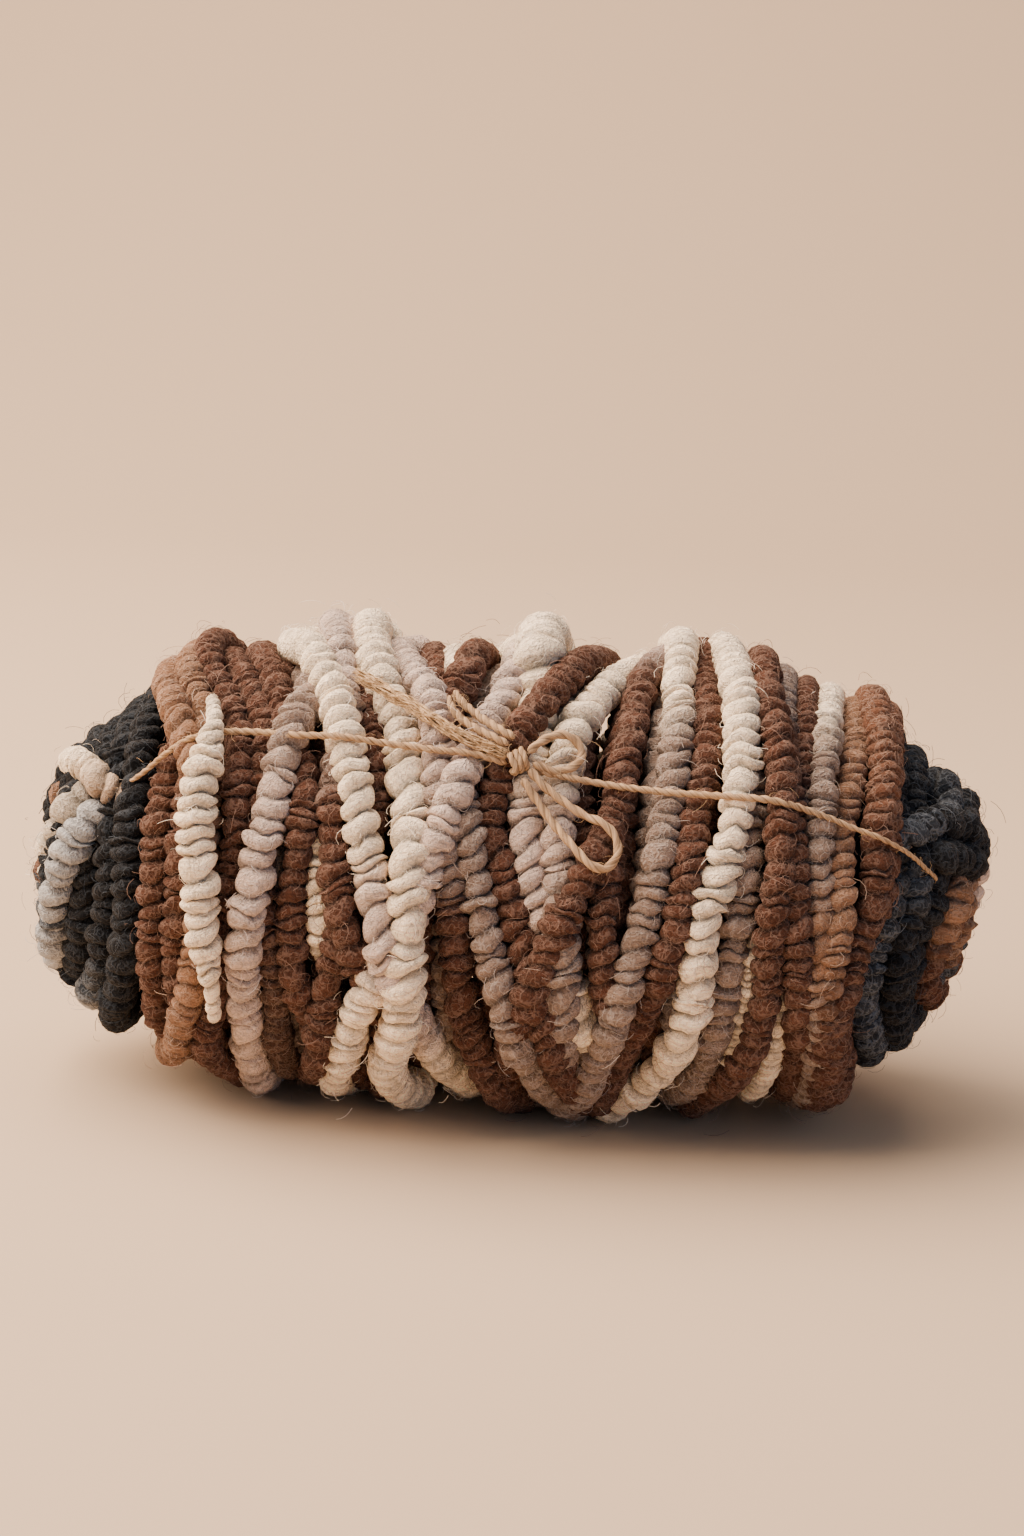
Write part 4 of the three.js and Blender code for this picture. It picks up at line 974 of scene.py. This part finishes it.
# Stray fibres
# Wool and jute are both hairy: single fibres stand out of the yarn and the twine all over, as bent as they
# were in the roving. They hold at one end and arch a little way off the surface.

# Outwards is away from the nearest point of the roll's axis, which reaches this far to each side
AXIS_REACH = 0.12
# A face looks outwards if its normal leans that way by at least this. It is in sight if a line from 50 mm
# outside meets nothing much nearer.
FACES_OUT, SEEN_FROM, SEEN_REACH, SEEN_LEAST = 0.25, 0.05, 0.06, 0.0485
# Each shape is an arc of its own bend, in radians, and rises by its own share of its length
FIBRE_SHAPES = ((0.8, 0.10), (1.7, 0.16), (2.6, 0.08), (3.4, 0.13), (4.2, 0.07), (2.1, 0.22))
# The fibres' sizes, as shares of the length given
SMALLEST, LARGEST = 0.4, 1.3


def stray_tree():
    """Scatters bent fibres over the faces that look outwards, each with three sides and four parts."""
    tree, node, given = new_tree("stray_fibres", (
        ("Density", "Float", 1000.0), ("Length", "Float", 0.01), ("Thickness", "Float", 0.0002),
        ("Seed", "Int", 1), ("Material", "Material", None)))
    place = node("InputPosition").outputs[0]
    nearest = node("VECTOR_MINIMUM", place, (AXIS_REACH, AXIS_BACK * MM, AXIS_HEIGHT * MM))
    nearest = node("VECTOR_MAXIMUM", nearest, (-AXIS_REACH, AXIS_BACK * MM, AXIS_HEIGHT * MM))
    away = node("VECTOR_NORMALIZE", node("VECTOR_SUBTRACT", place, nearest))
    facing = node("VECTOR_DOT_PRODUCT", away, node("InputNormal")).outputs["Value"]
    outer = node("GREATER_THAN", facing, FACES_OUT)
    # Only where nothing lies over the surface: a line back in from outside meets it first
    above = node("VECTOR_ADD", place, node("VECTOR_SCALE", {"Vector": away, "Scale": SEEN_FROM}))
    back_in = node("VECTOR_SCALE", {"Vector": away, "Scale": -1.0})
    first_met = node("Raycast", {"Target Geometry": given["Geometry"], "Source Position": above,
                                 "Ray Direction": back_in, "Ray Length": SEEN_REACH}).outputs["Hit Distance"]
    outer = node("MULTIPLY", outer, node("GREATER_THAN", first_met, SEEN_LEAST))
    points = node("DistributePointsOnFaces", {"Mesh": given["Geometry"], "Selection": outer,
                                              "Density": given["Density"], "Seed": given["Seed"]}).outputs
    radius = node("MULTIPLY", given["Thickness"], 0.5)
    ring = node("CurvePrimitiveCircle", {"Resolution": 3, "Radius": radius}, mode="RADIUS")
    share = node("DIVIDE", node("InputIndex"), 4.0)
    shapes = []
    for bend, rise in FIBRE_SHAPES:
        line = node("MeshLine", {"Count": 5, "Offset": (0.0, 0.0, 0.001)})
        turned = node("MULTIPLY", share, bend)
        forward = node("DIVIDE", node("SINE", turned), bend)
        aside = node("DIVIDE", node("COSINE", turned), -bend)
        lift = node("MULTIPLY", node("SINE", node("MULTIPLY", share, math.pi * 0.8)), rise)
        spot = node("VECTOR_SCALE", {"Vector": node("CombineXYZ", forward, aside, lift),
                                     "Scale": given["Length"]})
        line = node("MeshToCurve", {"Mesh": node("SetPosition", {"Geometry": line, "Position": spot})})
        fibre = node("CurveToMesh", {"Curve": line, "Profile Curve": ring})
        shapes.append(node("GeometryToInstance", {"Geometry": fibre}))
    spin = node("RandomValue", {2: 0.0, 3: 2 * math.pi, "Seed": 5}, data_type="FLOAT")
    spin = node("EulerToRotation", {"Euler": node("CombineXYZ", 0.0, 0.0, spin)})
    turned = node("RotateRotation", {"Rotation": points["Rotation"], "Rotate By": spin},
                  rotation_space="LOCAL")
    size = node("RandomValue", {2: SMALLEST, 3: LARGEST, "Seed": 9}, data_type="FLOAT")
    fibres = node("InstanceOnPoints", {
        "Points": points["Points"], "Instance": node("JoinGeometry", {0: shapes}), "Pick Instance": True,
        "Rotation": turned, "Scale": size})
    fibres = node("RealizeInstances", {"Geometry": fibres})
    floor = node("VECTOR_MAXIMUM", place, (*NO_LIMIT, 0.0003))
    fibres = node("SetPosition", {"Geometry": fibres, "Position": floor})
    fibres = node("SetMaterial", {"Geometry": fibres, "Material": given["Material"]})
    node("GroupOutput", fibres)
    return tree


# Single wool fibres: the colour of the yarn that they stand out of, paler because light passes through them
stray_wool, node = new_material("stray_wool_fibre")
dye = node("Attribute", attribute_name="dye").outputs["Color"]
pale = node("Gamma", {"Color": dye, "Gamma": 0.5})
surface = node("BsdfPrincipled", {"Base Color": pale, "Roughness": 0.7, "Specular IOR Level": 0.3})
node("OutputMaterial", {"Surface": surface})

# Single jute fibres: stiff, golden and a little shiny
stray_jute, node = new_material("stray_jute_fibre")
surface = node("BsdfPrincipled", {"Base Color": linear("#C6A47C"), "Roughness": 0.6,
                                  "Specular IOR Level": 0.35})
node("OutputMaterial", {"Surface": surface})


def joined_mesh(name, pieces):
    """The pieces' faces in one mesh, with their dyes where they have them."""
    points, faces, dyes = [], [], []
    for piece in pieces:
        mesh = piece.data
        first = sum(len(part) for part in points)
        spots = np.empty(len(mesh.vertices) * 3)
        mesh.vertices.foreach_get("co", spots)
        points.append(spots.reshape(-1, 3))
        colours = np.ones(len(mesh.vertices) * 4)
        if "dye" in mesh.attributes:
            mesh.attributes["dye"].data.foreach_get("color", colours)
        dyes.append(colours)
        faces += [[first + corner for corner in face.vertices] for face in mesh.polygons]
    mesh = bpy.data.meshes.new(name)
    mesh.from_pydata(np.vstack(points), [], faces)
    mesh.attributes.new("dye", "FLOAT_COLOR", "POINT").data.foreach_set("color", np.concatenate(dyes))
    return mesh


stray = stray_tree()
# Columns: piece, what it stands out of, slot, values
STRAY_PIECES = (
    ("stray_wool_fibres", wool_skins, "wound_wool",
     {"Density": 18000.0, "Length": 0.0048, "Thickness": 0.00018, "Seed": 21, "Material": stray_wool}),
    ("stray_wool_curls", wool_skins, "wound_wool",
     {"Density": 17000.0, "Length": 0.0085, "Thickness": 0.00016, "Seed": 22, "Material": stray_wool}),
    ("stray_jute_fibres", jute_skins, "jute",
     {"Density": 60000.0, "Length": 0.007, "Thickness": 0.00013, "Seed": 23, "Material": stray_jute}),
)
for name, skins, slot, values in STRAY_PIECES:
    piece = made_by(stray, name, joined_mesh(name, skins), values)
    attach(piece, "root")
